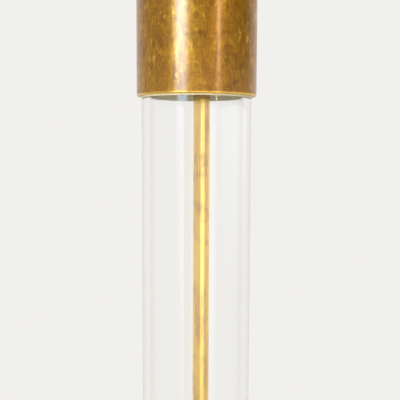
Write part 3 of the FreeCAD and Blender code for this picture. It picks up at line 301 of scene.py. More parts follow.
def aged_brass(name, drops=False):
    """Unlacquered brass: clouds of brown and gold patina, dried spots, grain and rubbed edges."""
    tones = bpy.context.scene.lamp_colours
    p = Paint.on_material(name)
    drift = p.noise(60, 2, 0.5)
    cloud = p.noise(150, 6, 0.62, 1.2)
    grain = p.noise(1300, 3, 0.7)
    runs = p.noise(620, 4, 0.65, 0.4, p.stretched((1, 1, 0.16)))
    tone = p.sum_of((drift, 0.20), (cloud, 0.34), (grain, 0.14), (runs, 0.32))
    base = p.ramp(
        tone, (0.415, tones.patina_dark), (0.458, tones.patina_brown), (0.50, tones.patina_gold),
        (0.555, tones.patina_orange), (0.625, tones.patina_bright))
    cells = p.add("TexVoronoi", {"Vector": p.place, "Scale": 80.0, "Randomness": 1.0})
    outline = p.maths("MULTIPLY_ADD", cloud, 0.35, cells.outputs["Distance"])
    spots = p.maths("MULTIPLY", p.band(outline, 0.46, 0.03), p.between(drift, 0.48, 0.58))
    flecks = p.between(p.noise(640, 3, 0.6, 0.4), 0.60, 0.67)
    pits = p.between(p.noise(760, 3, 0.6, 0.3), 0.41, 0.34)
    leaning = p.add("Mapping", {"Vector": p.place, "Rotation": (0.0, 0.5, 0.4),
                                "Scale": (1.0, 1.0, 0.05)}).outputs[0]
    scratches = p.between(p.noise(1100, 1, 0.5, 0.0, leaning), 0.70, 0.76)
    rubbed = p.maths("MAXIMUM", p.attribute("wear"), p.maths("MULTIPLY", flecks, 0.32))
    rubbed = p.maths("MAXIMUM", rubbed, p.maths("MULTIPLY", scratches, 0.3))
    dark = p.maths("MAXIMUM", p.maths("MULTIPLY", spots, 0.2), p.maths("MULTIPLY", pits, 0.4))
    if drops:
        stained, bright = drops_on(p, cloud)
        rubbed = p.maths("MAXIMUM", rubbed, bright)
        dark = p.maths("MAXIMUM", dark, stained)
    base = p.blend(p.maths("MINIMUM", dark, 1.0), base, tones.patina_dark)
    # Round the inside of each rim the colour is taken darker, towards the dark patina
    base = p.blend(p.maths("MULTIPLY", p.attribute("grime"), 0.85), base, tones.patina_dark)
    base = p.blend(rubbed, base, tones.patina_bright)
    rough = p.sum_of((cloud, 0.3), (grain, 0.12), (rubbed, -0.1), (0.12, 1.0))
    most_covered, least_covered = (0.35, 0.65) if drops else (0.4, 0.75)
    bare = p.maths("MAXIMUM", rubbed, p.between(tone, 0.44, 0.60, most_covered, least_covered))
    lathe = p.noise(900, 2, 0.5, 0.0, p.stretched((0.03, 0.03, 1)))
    relief = p.sum_of((cloud, 0.45), (grain, 0.40), (runs, 0.25), (lathe, 0.15))
    return p.principled(
        Base_Color=base, Metallic=bare, Roughness=rough, Normal=p.bump(relief, 0.24, 0.0006),
        Specular_IOR_Level=0.1, Coat_Weight=p.maths("MULTIPLY_ADD", rubbed, -0.25, 0.48),
        Coat_Roughness=0.2, Coat_IOR=1.85,
    )


def polished_brass(name):
    """Drawn brass tube, polished by hand: faint waves along it and a few tarnished lines."""
    tones = bpy.context.scene.lamp_colours
    tarnished = tuple(part * 0.72 for part in tones.polished)
    shining = tuple(min(1.0, part * 1.12) for part in tones.polished)
    p = Paint.on_material(name)
    waves = p.noise(150, 3, 0.55, 0.6, p.stretched((1, 1, 0.22)))
    lines = p.noise(1500, 3, 0.6, 0.0, p.stretched((1, 1, 0.02)))
    dull = p.between(p.noise(90, 5, 0.6), 0.5, 0.68)
    base = p.ramp(p.sum_of((waves, 0.6), (lines, 0.4)),
                  (0.36, tarnished), (0.5, tones.polished), (0.66, shining))
    base = p.blend(p.maths("MULTIPLY", dull, 0.4), base, tones.patina_gold)
    rough = p.sum_of((lines, 0.14), (dull, 0.10), (0.06, 1.0))
    return p.principled(
        Base_Color=base, Metallic=1.0, Roughness=rough,
        Normal=p.bump(p.sum_of((waves, 0.85), (lines, 0.15)), 0.22, 0.0006),
        Coat_Weight=0.7, Coat_Roughness=0.12, Coat_IOR=2.1,
    )


def clear_glass(name):
    """Drawn clear glass: long faint draw lines and a breath of dust; lamps shine through it."""
    tones = bpy.context.scene.lamp_colours
    p = Paint.on_material(name)
    draw = p.noise(60, 2, 0.4, 0.0, p.stretched((1, 1, 0.03)))
    swell = p.noise(22, 2, 0.4, 0.0, p.stretched((1, 1, 0.3)))
    normal = p.bump(p.sum_of((draw, 0.4), (swell, 0.6)), 0.02, 0.0004)
    dust = p.between(p.noise(500, 6, 0.7), 0.62, 0.80, 0.0, 0.03)
    grazing = p.between(p.add("LayerWeight", {"Blend": 0.5}).outputs["Facing"], 0.4, 0.85)
    tint = p.blend(grazing, tones.glass, tones.glass_edge)
    glass = p.add("BsdfGlass", {"Color": tint, "Roughness": dust, "IOR": 1.46, "Normal": normal})
    clear = p.add("BsdfTransparent", {"Color": tones.glass})
    shadow = p.add("LightPath").outputs["Is Shadow Ray"]
    return p.finish(p.add("MixShader", {0: shadow, 1: glass.outputs[0], 2: clear.outputs[0]}))


def woven_linen(name):
    """Plain-woven linen: over and under threads, slubs both ways, uneven natural colour."""
    tones, sizes = bpy.context.scene.lamp_colours, bpy.context.scene.lamp_sizes
    p = Paint.on_material(name)
    uv = p.add("UVMap", uv_map="threads").outputs[0]
    thread = 1 / sizes.linen_thread
    warp, weft = (
        p.add("TexWave", {"Vector": uv, "Scale": thread / 2, "Distortion": 0.0},
              wave_type="BANDS", bands_direction=across, wave_profile="SIN").outputs["Fac"]
        for across in "XY")
    over = p.add("TexChecker", {"Vector": uv, "Scale": thread}).outputs["Fac"]
    weave = p.add("Mix", {0: over, 2: warp, 3: weft}, data_type="FLOAT").outputs[0]
    slub_x = p.noise(700, 3, 0.6, 0.2, p.stretched((0.035, 1, 1), uv))
    slub_y = p.noise(700, 3, 0.6, 0.2, p.stretched((1, 0.035, 1), uv))
    slub = p.maths("MAXIMUM", p.between(slub_x, 0.50, 0.70), p.between(slub_y, 0.52, 0.72))
    cloud = p.noise(14, 4, 0.6)
    share = p.sum_of((slub, 0.45), (cloud, 0.45), (weave, -0.18))
    share = p.maths("MINIMUM", p.maths("MAXIMUM", share, 0.0), 1.0)
    base = p.blend(share, tones.linen, tones.linen_shadow)
    relief = p.sum_of((weave, 0.55), (slub, 0.45))
    return p.principled(
        Base_Color=base, Roughness=p.sum_of((weave, -0.08), (0.92, 1.0)),
        Normal=p.bump(relief, 0.35, 0.0004), Sheen_Weight=0.25, Sheen_Roughness=0.5,
        Specular_IOR_Level=0.25,
    )


def worked(name, pale, dark, grain, rough=(0.4, 0.5), relief=0.1, depth=0.0003,
           stretch=(1, 1, 1), **more):
    """A plain material with its own grain, patches and relief."""
    p = Paint.on_material(name)
    fine = p.noise(grain, 6, 0.62, 0.3, p.stretched(stretch))
    broad = p.noise(grain / 11, 3, 0.5)
    share = p.between(p.sum_of((fine, 0.55), (broad, 0.45)), 0.36, 0.66)
    return p.principled(
        Base_Color=p.blend(share, pale, dark), Roughness=p.between(fine, 0.3, 0.7, *rough),
        Normal=p.bump(fine, relief, depth), **more,
    )


def lamp_colour(name):
    return getattr(bpy.context.scene.lamp_colours, name)


def darker(name, share):
    return tuple(part * share for part in lamp_colour(name))


FINISHES = {
    "brass_aged": aged_brass,
    "brass_stained": lambda name: aged_brass(name, drops=True),
    "brass_polished": polished_brass,
    "glass_clear": clear_glass,
    "linen": woven_linen,
    "brass_plain": lambda name: worked(
        name, lamp_colour("plate"), darker("plate", 0.62), 260, (0.16, 0.34), 0.05, Metallic=1.0,
        Coat_Weight=0.3, Coat_Roughness=0.15),
    "glass_opal": lambda name: worked(
        name, lamp_colour("opal"), darker("opal", 0.93), 90, (0.18, 0.30), 0.02,
        Subsurface_Weight=0.3, Subsurface_Radius=(1.0, 0.9, 0.8), Subsurface_Scale=0.006,
        Coat_Weight=0.5, Coat_Roughness=0.06),
    "steel_zinc": lambda name: worked(
        name, (0.55, 0.56, 0.57), (0.36, 0.37, 0.38), 420, (0.28, 0.46), 0.08, Metallic=1.0),
    "shade_wire": lambda name: worked(
        name, (0.80, 0.79, 0.75), (0.70, 0.68, 0.63), 600, (0.35, 0.5), 0.12),
    "iron_cast": lambda name: worked(
        name, (0.035, 0.035, 0.037), (0.014, 0.014, 0.015), 320, (0.5, 0.75), 0.6, 0.0008,
        Metallic=0.3),
    "pad_felt": lambda name: worked(
        name, lamp_colour("felt"), (0.030, 0.030, 0.032), 1400, (0.9, 1.0), 0.9, 0.0006,
        Sheen_Weight=0.6, Sheen_Roughness=0.6),
    "rubber_dark": lambda name: worked(
        name, (0.018, 0.018, 0.018), (0.032, 0.031, 0.030), 800, (0.55, 0.75), 0.15),
    "sleeve_pale": lambda name: worked(
        name, lamp_colour("sleeve"), darker("sleeve", 0.9), 240, (0.38, 0.55), 0.2),
    "phenolic_black": lambda name: worked(
        name, (0.012, 0.010, 0.009), (0.028, 0.022, 0.018), 500, (0.18, 0.34), 0.06,
        Coat_Weight=0.4, Coat_Roughness=0.1),
    "liner_card": lambda name: worked(
        name, (0.36, 0.23, 0.11), (0.25, 0.15, 0.07), 900, (0.75, 0.9), 0.3,
        stretch=(1, 1, 0.2)),
    "aluminium_bright": lambda name: worked(
        name, (0.80, 0.80, 0.81), (0.62, 0.62, 0.64), 380, (0.2, 0.36), 0.06, Metallic=1.0),
    "bulb_core": lambda name: worked(
        name, (0.86, 0.85, 0.78), (0.78, 0.76, 0.66), 300, (0.5, 0.6), 0.1),
    "wire_cover": lambda name: worked(
        name, (0.66, 0.58, 0.42), (0.55, 0.47, 0.32), 700, (0.4, 0.55), 0.08),
    "terminal_plastic": lambda name: worked(
        name, (0.72, 0.70, 0.60), (0.62, 0.59, 0.48), 350, (0.3, 0.42), 0.06),
    "shade_white": lambda name: worked(
        name, lamp_colour("shade_inside"), darker("shade_inside", 0.93), 700, (0.5, 0.62), 0.12,
        stretch=(1, 1, 0.3)),
}
made_finishes = {}


def finish(name):
    """The material of that name, made the first time that it is asked for."""
    if name not in made_finishes:
        made_finishes[name] = FINISHES[name](name)
    return made_finishes[name]


def dress(slot, *nodes):
    """Give CAD nodes the finish of their slot."""
    for name in nodes:
        for place in NODES[name].material_slots:
            place.material = finish(slot)


# Making pieces

def outline_of(corners):
    """A closed outline in the XZ plane, from corners in metres.

    Each corner is (radius, height), or (radius, height, rounding).
    """
    mesh = bmesh.new()
    points = [mesh.verts.new((corner[0], 0.0, corner[1])) for corner in corners]
    for point, after in zip(points, points[1:] + points[:1]):
        mesh.edges.new((point, after))
    for point, corner in zip(points, corners):
        if len(corner) > 2 and corner[2] > 0:
            bmesh.ops.bevel(
                mesh, geom=[point], offset=corner[2], offset_type="OFFSET", affect="VERTICES",
                segments=CORNER_STEPS, profile=0.5, material=-1,
            )
    return mesh


def turn_round(mesh, steps, centre=(0.0, 0.0)):
    """Turn an outline once round a vertical axis, close its poles and face it outwards."""
    bmesh.ops.spin(
        mesh, geom=mesh.verts[:] + mesh.edges[:], cent=(0, 0, 0), axis=(0, 0, 1),
        dvec=(0, 0, 0), angle=FULL_TURN, steps=steps, use_merge=True,
    )
    bmesh.ops.remove_doubles(mesh, verts=mesh.verts[:], dist=SAME_PLACE)
    bmesh.ops.recalc_face_normals(mesh, faces=mesh.faces[:])
    bmesh.ops.translate(mesh, verts=mesh.verts[:], vec=(centre[0], centre[1], 0.0))


def mark_edges(mesh, angle=40.0):
    """Smooth faces, with an edge kept sharp where the surface turns by more than the angle."""
    for face in mesh.faces:
        face.smooth = True
    for edge in mesh.edges:
        edge.smooth = edge.calc_face_angle(0.0) < math.radians(angle)


def piece_of(mesh, name, body, slot, material=None, stands_for=()):
    """Put a finished bmesh in the scene as one of the lamp's pieces.

    Its finish is its slot's, or the named material.
    """
    mark_edges(mesh)
    data = bpy.data.meshes.new(name)
    mesh.to_mesh(data)
    mesh.free()
    piece = bpy.data.objects.new(name, data)
    bpy.context.scene.collection.objects.link(piece)
    data.materials.append(finish(material or slot))
    even = piece.modifiers.new("even_shading", "WEIGHTED_NORMAL")
    even.keep_sharp = True
    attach(piece, body)
    if stands_for:
        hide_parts(*stands_for)
    return piece


def set_values(mesh, name, value_at):
    """Fill a vertex layer from a function of the vertex's place."""
    layer = mesh.verts.layers.float.new(name)
    for vert in mesh.verts:
        vert[layer] = value_at(vert.co)


def lay_threads(mesh, radius):
    """A UV map in metres, round the shade and up it, cut at the back."""
    layer = mesh.loops.layers.uv.new("threads")
    for face in mesh.faces:
        middle = face.calc_center_median()
        facing = math.atan2(middle.x, -middle.y)
        for loop in face.loops:
            place = loop.vert.co
            turn = math.atan2(place.x, -place.y)
            if turn - facing > math.pi:
                turn -= FULL_TURN
            elif facing - turn > math.pi:
                turn += FULL_TURN
            loop[layer].uv = (turn * radius, place.z)


def made_cup(name, node, rim_up, material):
    """One of the two deep cups that hold the glass, with its rubbed lip."""
    sizes = bpy.context.scene.lamp_sizes
    low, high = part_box(node)
    outer = (high.x - low.x) / 2
    bore, hole = outer - sizes.cup_wall, sizes.cup_hole
    rim, end = (high.z, low.z) if rim_up else (low.z, high.z)
    inner_end = end + sizes.cup_plate if rim_up else end - sizes.cup_plate
    lip = sizes.cup_lip
    inwards = -lip if rim_up else lip
    # The points at 4 and 2.6 lips from the rim keep its wear and its darker inner band from
    # spreading
    mesh = outline_of([
        (hole, inner_end), (bore, inner_end), (bore, rim + 4 * inwards), (bore, rim, lip),
        (outer, rim, lip), (outer, rim + 2.6 * inwards), (outer, end, sizes.cup_edge),
        (hole, end),
    ])
    turn_round(mesh, COLUMN_STEPS)

    def rubbed(place):
        radius = math.hypot(place.x, place.y)
        depth = abs(place.z - rim)
        outside = radius > outer - 0.6 * lip
        return 1.0 if outside and 0.1 * lip < depth < 1.2 * lip else 0.0

    # The band round the inside of the rim whose colour is made darker
    def on_inner_lip(place):
        inside = math.hypot(place.x, place.y) < outer - 1.05 * lip
        return 1.0 if inside and abs(place.z - rim) < 1.2 * lip else 0.0

    set_values(mesh, "wear", rubbed)
    set_values(mesh, "grime", on_inner_lip)
    bmesh.ops.translate(mesh, verts=mesh.verts[:], vec=((low.x + high.x) / 2, 0.0, 0.0))
    return piece_of(mesh, name, "stand", "brass_aged", material, [node])


def made_ring(name, node, inner, rounding, steps, slot):
    """A plain tube of the stand in place of a CAD one, with its bore's radius and rounding."""
    low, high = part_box(node)
    outer = (high.x - low.x) / 2
    mesh = outline_of([(radius, height, rounding) for radius, height in (
        (inner, low.z), (outer, low.z), (outer, high.z), (inner, high.z))])
    turn_round(mesh, steps, ((low.x + high.x) / 2, (low.y + high.y) / 2))
    return piece_of(mesh, name, "stand", slot, stands_for=[node])


# Operators: one for each piece or group of like pieces

class LAMP_OT_cups(bpy.types.Operator):
    """Make the two aged brass cups at the ends of the glass"""

    bl_idname = "lamp.cups"
    bl_label = "Brass cups"

    def execute(self, context):
        made_cup("cup_upper", "upper_cup", False, "brass_stained")
        made_cup("cup_lower", "lower_cup", True, "brass_aged")
        return {"FINISHED"}


class LAMP_OT_column(bpy.types.Operator):
    """Make the glass tube, the brass tube inside it and the strips that seat the glass"""

    bl_idname = "lamp.column"
    bl_label = "Glass column"

    def execute(self, context):
        sizes = context.scene.lamp_sizes
        made_ring("column_glass", "glass_tube", sizes.glass_radius - sizes.glass_wall,
                  sizes.glass_rounding, COLUMN_STEPS, "glass_clear")
        made_ring("column_pipe", "lamp_pipe", sizes.pipe_bore, sizes.pipe_rounding, PIPE_STEPS,
                  "brass_polished")
        for place in ("upper", "lower"):
            made_ring("glass_strip_" + place, place + "_sleeve", sizes.glass_radius + CLEARANCE,
                      sizes.strip_rounding, STRIP_STEPS, "sleeve_pale")
        return {"FINISHED"}


class LAMP_OT_turned_brass(bpy.types.Operator):
    """Give the foot, the plinth, the neck, the stem and the finial their aged brass"""

    bl_idname = "lamp.turned_brass"
    bl_label = "Turned brass"

    def execute(self, context):
        dress("brass_aged", "base_shell", "plinth", "neck_collar", "stem_sleeve", "stem_ring",
              "finial")
        return {"FINISHED"}


class LAMP_OT_foot(bpy.types.Operator):
    """Make the felt pad and finish what the foot holds"""

    bl_idname = "lamp.foot"
    bl_label = "Foot"

    def execute(self, context):
        sizes = context.scene.lamp_sizes
        low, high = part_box("foot_pad")
        radius = (high.x - low.x) / 2
        mesh = outline_of([
            (0.0, low.z), (radius, low.z, sizes.felt_under), (radius, high.z, sizes.felt_over),
            (0.0, high.z),
        ])
        turn_round(mesh, PAD_STEPS)
        for vert in mesh.verts:
            turn = math.atan2(vert.co.y, vert.co.x)
            if vert.co.xy.length > radius * 0.98:
                uneven = 1 + math.sin(turn * 23 + 1.3) * math.sin(turn * 57)
                vert.co.xy *= 1 - sizes.felt_nibble * uneven / radius
        pad = piece_of(mesh, "felt_pad", "stand", "pad_felt", stands_for=["foot_pad"])
        dress("iron_cast", "base_weight")
        dress("steel_zinc", "base_cover", "cover_screws", "base_washer", "base_nut",
              "terminal_screws")
        dress("rubber_dark", "cord_inlet_bush")
        dress("terminal_plastic", "terminal_block")
        dress("wire_cover", "supply_wire_left", "supply_wire_right")
        return {"FINISHED"}


class LAMP_OT_head(bpy.types.Operator):
    """Finish the clamp, the harp, the socket and its turn switch"""

    bl_idname = "lamp.head"
    bl_label = "Head and socket"

    def execute(self, context):
        dress("rubber_dark", "lower_gasket", "upper_gasket")
        dress("steel_zinc", "cup_washer", "column_nut", "switch_shaft")
        dress("brass_plain", "harp_saddle", "harp", "harp_stud", "harp_ferrule_left",
              "harp_ferrule_right", "socket_cap", "socket_shell", "socket_set_screw",
              "socket_terminal_screws", "centre_contact", "shade_washer")
        dress("phenolic_black", "socket_core", "switch_knob", "bulb_insulator")
        dress("liner_card", "socket_liner")
        dress("aluminium_bright", "screw_shell", "bulb_cap", "bulb_tip")
        return {"FINISHED"}


class LAMP_OT_bulb(bpy.types.Operator):
    """Finish the opal light bulb"""

    bl_idname = "lamp.bulb"
    bl_label = "Light bulb"

    def execute(self, context):
        dress("glass_opal", "bulb_glass")
        dress("bulb_core", "bulb_light_core")
        return {"FINISHED"}


class LAMP_OT_shade(bpy.types.Operator):
    """Make the linen of the shade and its bound edges, and finish the lining and the wires"""

    bl_idname = "lamp.shade"
    bl_label = "Drum shade"

    def execute(self, context):
        sizes = context.scene.lamp_sizes
        low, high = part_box("shade_linen")
        bottom = (high.x - low.x) / 2
        height = high.z - low.z
        top = self.top_radius()
        gauge = sizes.linen_gauge
        slope = (top - bottom) / height
        shares = [row / CLOTH_ROWS for row in range(CLOTH_ROWS + 1)]
        outside = [(bottom + (top - bottom) * share, low.z + height * share) for share in shares]
        inside = [(radius - gauge, level) for radius, level in reversed(outside)]
        mesh = outline_of(outside + inside)
        turn_round(mesh, SHADE_STEPS)
        half_seam = sizes.seam_width / 2
        for vert in mesh.verts:
            radius = vert.co.xy.length
            share = (vert.co.z - low.z) / height
            outer = radius > bottom + (top - bottom) * share - gauge / 2
            off_seam = abs(math.atan2(vert.co.x, vert.co.y)) * radius
            if outer and off_seam < half_seam:
                vert.co.xy *= 1 + sizes.seam_rise / radius
        lay_threads(mesh, (bottom + top) / 2)
        cloth = piece_of(mesh, "shade_cloth", "shade", "linen", stands_for=["shade_linen"])
        tapes = [
            self.made_tape("shade_tape_bottom", "shade_bottom_trim", low.z, bottom, 1, slope),
            self.made_tape("shade_tape_top", "shade_top_trim", high.z, top, -1, slope),
        ]
        dress("shade_white", "shade_backing")
        dress("shade_wire", "shade_spider", "shade_bottom_ring")
        return {"FINISHED"}

    def top_radius(self):
        """The linen's outer radius at its upper edge, read from its CAD node."""
        low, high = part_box("shade_linen")
        return max(vert.co.xy.length for vert in NODES["shade_linen"].data.vertices
                   if vert.co.z > high.z - 0.1 * MM)

    def made_tape(self, name, node, edge, radius, inward, slope):
        """A cloth tape folded over one edge of the shade.

        The edge is at that height and radius, the shade lies inward from it, 1 for up, and the
        slope is how its radius changes with height.
        """
        sizes = bpy.context.scene.lamp_sizes
        gap, thick, wide = CLEARANCE, sizes.tape_gauge, sizes.tape_width
        lip = radius - sizes.tape_fold
        band_edge = edge + wide * inward
        band_radius = radius + slope * wide * inward
        mesh = outline_of([
            (lip, edge - (gap + thick) * inward, 0.0002),
            (radius + gap + thick, edge - (gap + thick) * inward, 0.0005),
            (radius + gap + thick, edge),
            (band_radius + gap + thick, band_edge, 0.00025),
            (band_radius + gap, band_edge),
            (radius + gap, edge - gap * inward),
            (lip, edge - gap * inward),
        ])
        turn_round(mesh, SHADE_STEPS)
        for vert in mesh.verts:
            turn = math.atan2(vert.co.y, vert.co.x)
            if abs(vert.co.z - band_edge) < MM:
                uneven = math.sin(turn * 17 + radius * 90) * math.sin(turn * 41)
                vert.co.z += sizes.tape_waver * uneven
        lay_threads(mesh, radius)
        return piece_of(mesh, name, "shade", "linen", stands_for=[node])


# The room that the brass mirrors is the backdrop, a little darker on the camera's side. Its
# level follows how far back the mirrored ray points: Y from low to high, level from start to
# end. The floor and the world share it, so that no line shows between them.
ROOM = {"low": 0.2, "high": 0.8, "start": 0.84, "end": 1.0}
HORIZON = (0.03, 0.10)  # how far up a ray points where the room's own shades begin
FLOOR_RADIUS = 14.0
FLOOR_DROP = 0.1 * MM  # under the felt

# The photograph's view
CAMERA_TURN = (0.31, 4.96, -0.21)  # degrees to the right, down, and round the view
CAMERA_AWAY = 0.413  # in front of the lamp's axis
CAMERA_UNDER_RIM = 0.0258
CAMERA_LENS = 61.9


class LAMP_OT_studio(bpy.types.Operator):
    """Make the pale floor, the softboxes, the world and the camera"""

    bl_idname = "lamp.studio"
    bl_label = "Studio"

    def execute(self, context):
        self.lay_floor(context.scene)
        self.light_world(context.scene)
        self.hang_softboxes(context.scene)
        self.set_camera(context.scene)
        context.scene.view_settings.view_transform = "Standard"
        return {"FINISHED"}

    def lay_floor(self, scene):
        """A pale floor that keeps the lamp's shadow and runs into the backdrop further out."""
        mesh = bmesh.new()
        bmesh.ops.create_circle(
            mesh, cap_ends=True, cap_tris=False, segments=96, radius=FLOOR_RADIUS)
        bmesh.ops.translate(mesh, verts=mesh.verts[:], vec=(0, 0, -FLOOR_DROP))
        data = bpy.data.meshes.new("studio_floor")
        mesh.to_mesh(data)
        mesh.free()
        floor = bpy.data.objects.new("studio_floor", data)
        scene.collection.objects.link(floor)
        p = Paint.on_material("studio_floor")
        backdrop = scene.lamp_studio.backdrop
        grain = p.noise(40, 4, 0.5)
        paper = p.blend(p.between(grain, 0.3, 0.7), (0.93, 0.92, 0.90), (0.90, 0.89, 0.87))
        plain = p.add("BsdfPrincipled", {"Base Color": paper, "Roughness": 0.7})
        away = p.add("VectorMath", {0: p.place}, operation="LENGTH").outputs["Value"]
        way = p.add("VectorMath", {0: p.place}, operation="NORMALIZE").outputs["Vector"]
        depth = p.add("SeparateXYZ", {0: way}).outputs["Y"]
        camera, mirrored, through = self.ray_kinds(p)
        straight = self.through_level(p, depth, through)
        level = p.add("Mix", {0: mirrored, 2: straight, 3: p.between(depth, **ROOM)},
                      data_type="FLOAT").outputs[0]
        glow = p.add("Emission", {"Color": backdrop, "Strength": level})
        seen = p.maths("MAXIMUM", camera, p.maths("MAXIMUM", mirrored, through))
        far = p.maths("MULTIPLY", p.between(away, 0.3, 1.8, 0.25, 1.0), seen)
        floor.data.materials.append(p.finish(
            p.add("MixShader", {0: far, 1: plain.outputs[0], 2: glow.outputs[0]})))

    def ray_kinds(self, p):
        """Whether a ray comes from the camera, from a mirroring surface, or through glass."""
        path = p.add("LightPath").outputs
        return (path["Is Camera Ray"], p.maths("GREATER_THAN", path["Glossy Depth"], 0.5),
                p.maths("GREATER_THAN", path["Transmission Depth"], 0.5))

    def through_level(self, p, depth, through):
        """The backdrop's level: lower at the room's sides where it is seen through glass."""
        side = p.between(p.maths("ABSOLUTE", depth), 0.2, 0.8, 0.16, 0.0)
        return p.maths("SUBTRACT", 1.0, p.maths("MULTIPLY", side, through))

    def light_world(self, scene):
        """Even light, the pale backdrop, and the room that shows in the brass."""
        studio = scene.lamp_studio
        world = bpy.data.worlds.new("studio")
        scene.world = world
        p = Paint(world)
        way = p.add("SeparateXYZ", {0: p.add("TexCoord").outputs["Generated"]}).outputs
        above = p.between(way["Z"], *HORIZON)
        dusk = p.maths("MULTIPLY", p.maths("MULTIPLY", above, 0.78), p.between(way["Y"], 0.8, 0.2))
        room = p.maths("MULTIPLY", p.between(way["Y"], **ROOM), p.maths("SUBTRACT", 1.0, dusk))
        side = p.maths("ARCTAN2", way["X"], p.maths("MULTIPLY", way["Y"], -1.0))
        doorway = p.band(side, math.radians(90), math.radians(30))
        pale_wall = p.band(side, math.radians(-80), math.radians(60))
        sides = p.maths("MULTIPLY", p.sum_of((doorway, -0.95), (pale_wall, 1.2)), above)
        room = p.maths("MULTIPLY", room, p.maths("ADD", 1.0, sides))
        camera, mirrored, through = self.ray_kinds(p)
        fill = p.add("Background", {"Color": (1.0, 1.0, 1.0), "Strength": studio.fill})
        pale = p.add("Background", {"Color": studio.backdrop,
                                    "Strength": self.through_level(p, way["Y"], through)})
        shown = p.add("Background", {"Color": studio.backdrop, "Strength": room})
        seen = p.maths("MAXIMUM", camera, through)
        mixed = p.add("MixShader", {0: seen, 1: fill.outputs[0], 2: pale.outputs[0]})
        mixed = p.add("MixShader", {0: mirrored, 1: mixed.outputs[0], 2: shown.outputs[0]})
        p.add("OutputWorld", {"Surface": mixed.outputs[0]})

    def softbox(self, scene, name, side, away, foot, top, width, radiance, soft, levels,
                across=((0.0, 1.0), (1.0, 1.0)), tint=(1.0, 1.0, 1.0), shows=True, through=False):
        """A soft rectangle of light that faces the column.

        The side is in degrees to the right of the front. The levels are (share of the height,
        brightness) from its foot up, across says the same over its width, and soft is the
        share of the width that fades at each side. One that shows is only mirrored, and the
        other kind only lights. One with through set is mirrored behind the glass too, but
        isn't seen straight through it.
        """
        height = top - foot
        lamp = bpy.data.lights.new(name, "AREA")
        lamp.shape = "RECTANGLE"
        lamp.size, lamp.size_y = width, height
        lamp.energy = math.pi * width * height  # a radiance of 1, which the shader multiplies
        p = Paint(lamp)
        spot = p.add("SeparateXYZ", {0: p.add("NewGeometry").outputs["Parametric"]}).outputs
        level = p.maths("MULTIPLY", *(
            p.ramp(spot[axis], *((at, (share,) * 3) for at, share in shares))
            for axis, shares in (("Y", levels), ("X", across))))
        edge = p.maths("MINIMUM", p.between(spot["X"], 0.0, soft),
                       p.between(spot["X"], 1.0, 1.0 - soft))
        power = p.maths("MULTIPLY", p.maths("MULTIPLY", level, edge), radiance)
        if through:
            mirrored = p.maths("GREATER_THAN", p.add("LightPath").outputs["Glossy Depth"], 0.5)
            power = p.maths("MULTIPLY", power, mirrored)
        glow = p.add("Emission", {"Color": tint, "Strength": power})
        p.add("OutputLight", {"Surface": glow.outputs[0]})
        box = bpy.data.objects.new(name, lamp)
        turn = math.radians(side)
        up = Vector((0, 0, 1))
        outwards = Vector((math.sin(turn), -math.cos(turn), 0.0))
        facing = Matrix((up.cross(outwards), up, outwards)).transposed().to_4x4()
        box.matrix_world = Matrix.Translation(outwards * away + up * (foot + top) / 2) @ facing
        scene.collection.objects.link(box)
        box.visible_camera = False
        box.visible_diffuse = not shows
        box.visible_glossy = shows
        box.visible_transmission = through

    def hang_softboxes(self, scene):
        """Two lamps light the object, and the windows and strips are only mirrored in it."""
        studio = scene.lamp_studio
        self.softbox(
            scene, "key_light", side=-42, away=2.5, foot=0.3, top=2.2, width=1.4, radiance=2.6,
            soft=0.3, levels=((0.0, 1.0), (0.4, 1.0), (1.0, 0.3)), shows=False)
        self.softbox(
            scene, "low_light", side=-12, away=1.6, foot=0.35, top=0.95, width=1.3, radiance=3.1,
            soft=0.3, levels=((0.0, 1.0), (1.0, 1.0)), shows=False)
        self.softbox(
            scene, "left_window", side=-29, away=1.5, foot=1.13, top=2.3, width=0.74,
            radiance=studio.mirrored, soft=0.28, tint=studio.daylight,
            levels=((0.0, 0.7), (0.12, 0.9), (0.3, 1.0)))
        self.softbox(
            scene, "left_window_foot", side=-35.5, away=1.5, foot=0.5, top=1.13, width=0.44,
            radiance=2.6, soft=0.33, tint=studio.low_daylight,
            levels=((0.0, 0.0), (0.08, 0.08), (0.3, 0.26), (0.52, 0.42), (0.7, 0.55),
                    (0.86, 0.8), (0.94, 1.0)))
        self.softbox(
            scene, "right_strip", side=40.5, away=1.5, foot=1.13, top=2.3, width=0.13,
            radiance=studio.mirrored, soft=0.4, tint=studio.warm,
            levels=((0.0, 0.8), (0.2, 1.0), (0.5, 0.7)))
        self.softbox(
            scene, "right_strip_foot", side=49, away=1.5, foot=0.98, top=1.14, width=0.06,
            radiance=0.9, soft=0.4, levels=((0.0, 0.0), (0.6, 1.0)))
        self.softbox(
            scene, "right_window", side=88, away=1.5, foot=0.62, top=1.12, width=2.6,
            radiance=1.5, soft=0.08, tint=studio.cool,
            levels=((0.0, 0.0), (0.12, 0.12), (0.26, 0.2), (0.5, 0.45), (0.76, 0.8), (1.0, 1.0)),
            across=((0.0, 0.5), (0.15, 0.65), (0.41, 1.0), (0.57, 0.9), (0.62, 0.35),
                    (0.655, 0.35), (0.705, 0.6), (1.0, 0.35)))
        self.softbox(
            scene, "front_low", side=16, away=1.5, foot=0.2, top=1.125, width=1.7, radiance=1.15,
            soft=0.15, levels=((0.0, 0.3), (0.5, 1.0), (0.9, 1.0)), through=True)

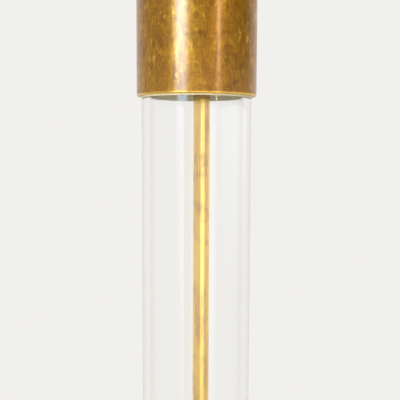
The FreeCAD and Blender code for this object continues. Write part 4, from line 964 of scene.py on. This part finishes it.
    def set_camera(self, scene):
        """The photograph's view: close to the upper cup, from a little under its rim."""
        yaw, pitch, roll = (math.radians(angle) for angle in CAMERA_TURN)
        ahead = Vector((math.sin(yaw) * math.cos(pitch), math.cos(yaw) * math.cos(pitch),
                        -math.sin(pitch)))
        right = ahead.cross(Vector((0, 0, 1))).normalized()
        down = ahead.cross(right)
        tipped_right = math.cos(roll) * right + math.sin(roll) * down
        tipped_down = math.cos(roll) * down - math.sin(roll) * right
        low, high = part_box("upper_cup")
        lens = bpy.data.cameras.new("camera")
        lens.sensor_width = 36.0
        lens.lens = CAMERA_LENS
        lens.clip_start = 0.01
        camera = bpy.data.objects.new("camera", lens)
        facing = Matrix((tipped_right, -tipped_down, -ahead)).transposed().to_4x4()
        camera.matrix_world = Matrix.Translation((
            (low.x + high.x) / 2, -CAMERA_AWAY, low.z - CAMERA_UNDER_RIM,
        )) @ facing
        scene.collection.objects.link(camera)
        scene.camera = camera


STEPS = (
    LAMP_OT_studio, LAMP_OT_cups, LAMP_OT_column, LAMP_OT_turned_brass, LAMP_OT_foot,
    LAMP_OT_head, LAMP_OT_bulb, LAMP_OT_shade,
)


class LAMP_PT_panel(bpy.types.Panel):
    """The lamp's sizes, colours and steps"""

    bl_idname = "LAMP_PT_panel"
    bl_label = "Glass column floor lamp"
    bl_space_type = "VIEW_3D"
    bl_region_type = "UI"
    bl_category = "Lamp"

    def draw(self, context):
        scene = context.scene
        for group in (scene.lamp_sizes, scene.lamp_colours, scene.lamp_studio):
            box = self.layout.box()
            for name in group.__annotations__:
                box.prop(group, name)
        for step in STEPS:
            self.layout.operator(step.bl_idname)


CLASSES = (LampSizes, LampColours, LampStudio, *STEPS, LAMP_PT_panel)


def register():
    for item in CLASSES:
        bpy.utils.register_class(item)
    bpy.types.Scene.lamp_sizes = PointerProperty(type=LampSizes)
    bpy.types.Scene.lamp_colours = PointerProperty(type=LampColours)
    bpy.types.Scene.lamp_studio = PointerProperty(type=LampStudio)


def unregister():
    del bpy.types.Scene.lamp_sizes, bpy.types.Scene.lamp_colours, bpy.types.Scene.lamp_studio
    for item in reversed(CLASSES):
        bpy.utils.unregister_class(item)


def main():
    register()
    for step in STEPS:
        group, name = step.bl_idname.split(".")
        getattr(getattr(bpy.ops, group), name)()


if __name__ == "__main__":
    main()
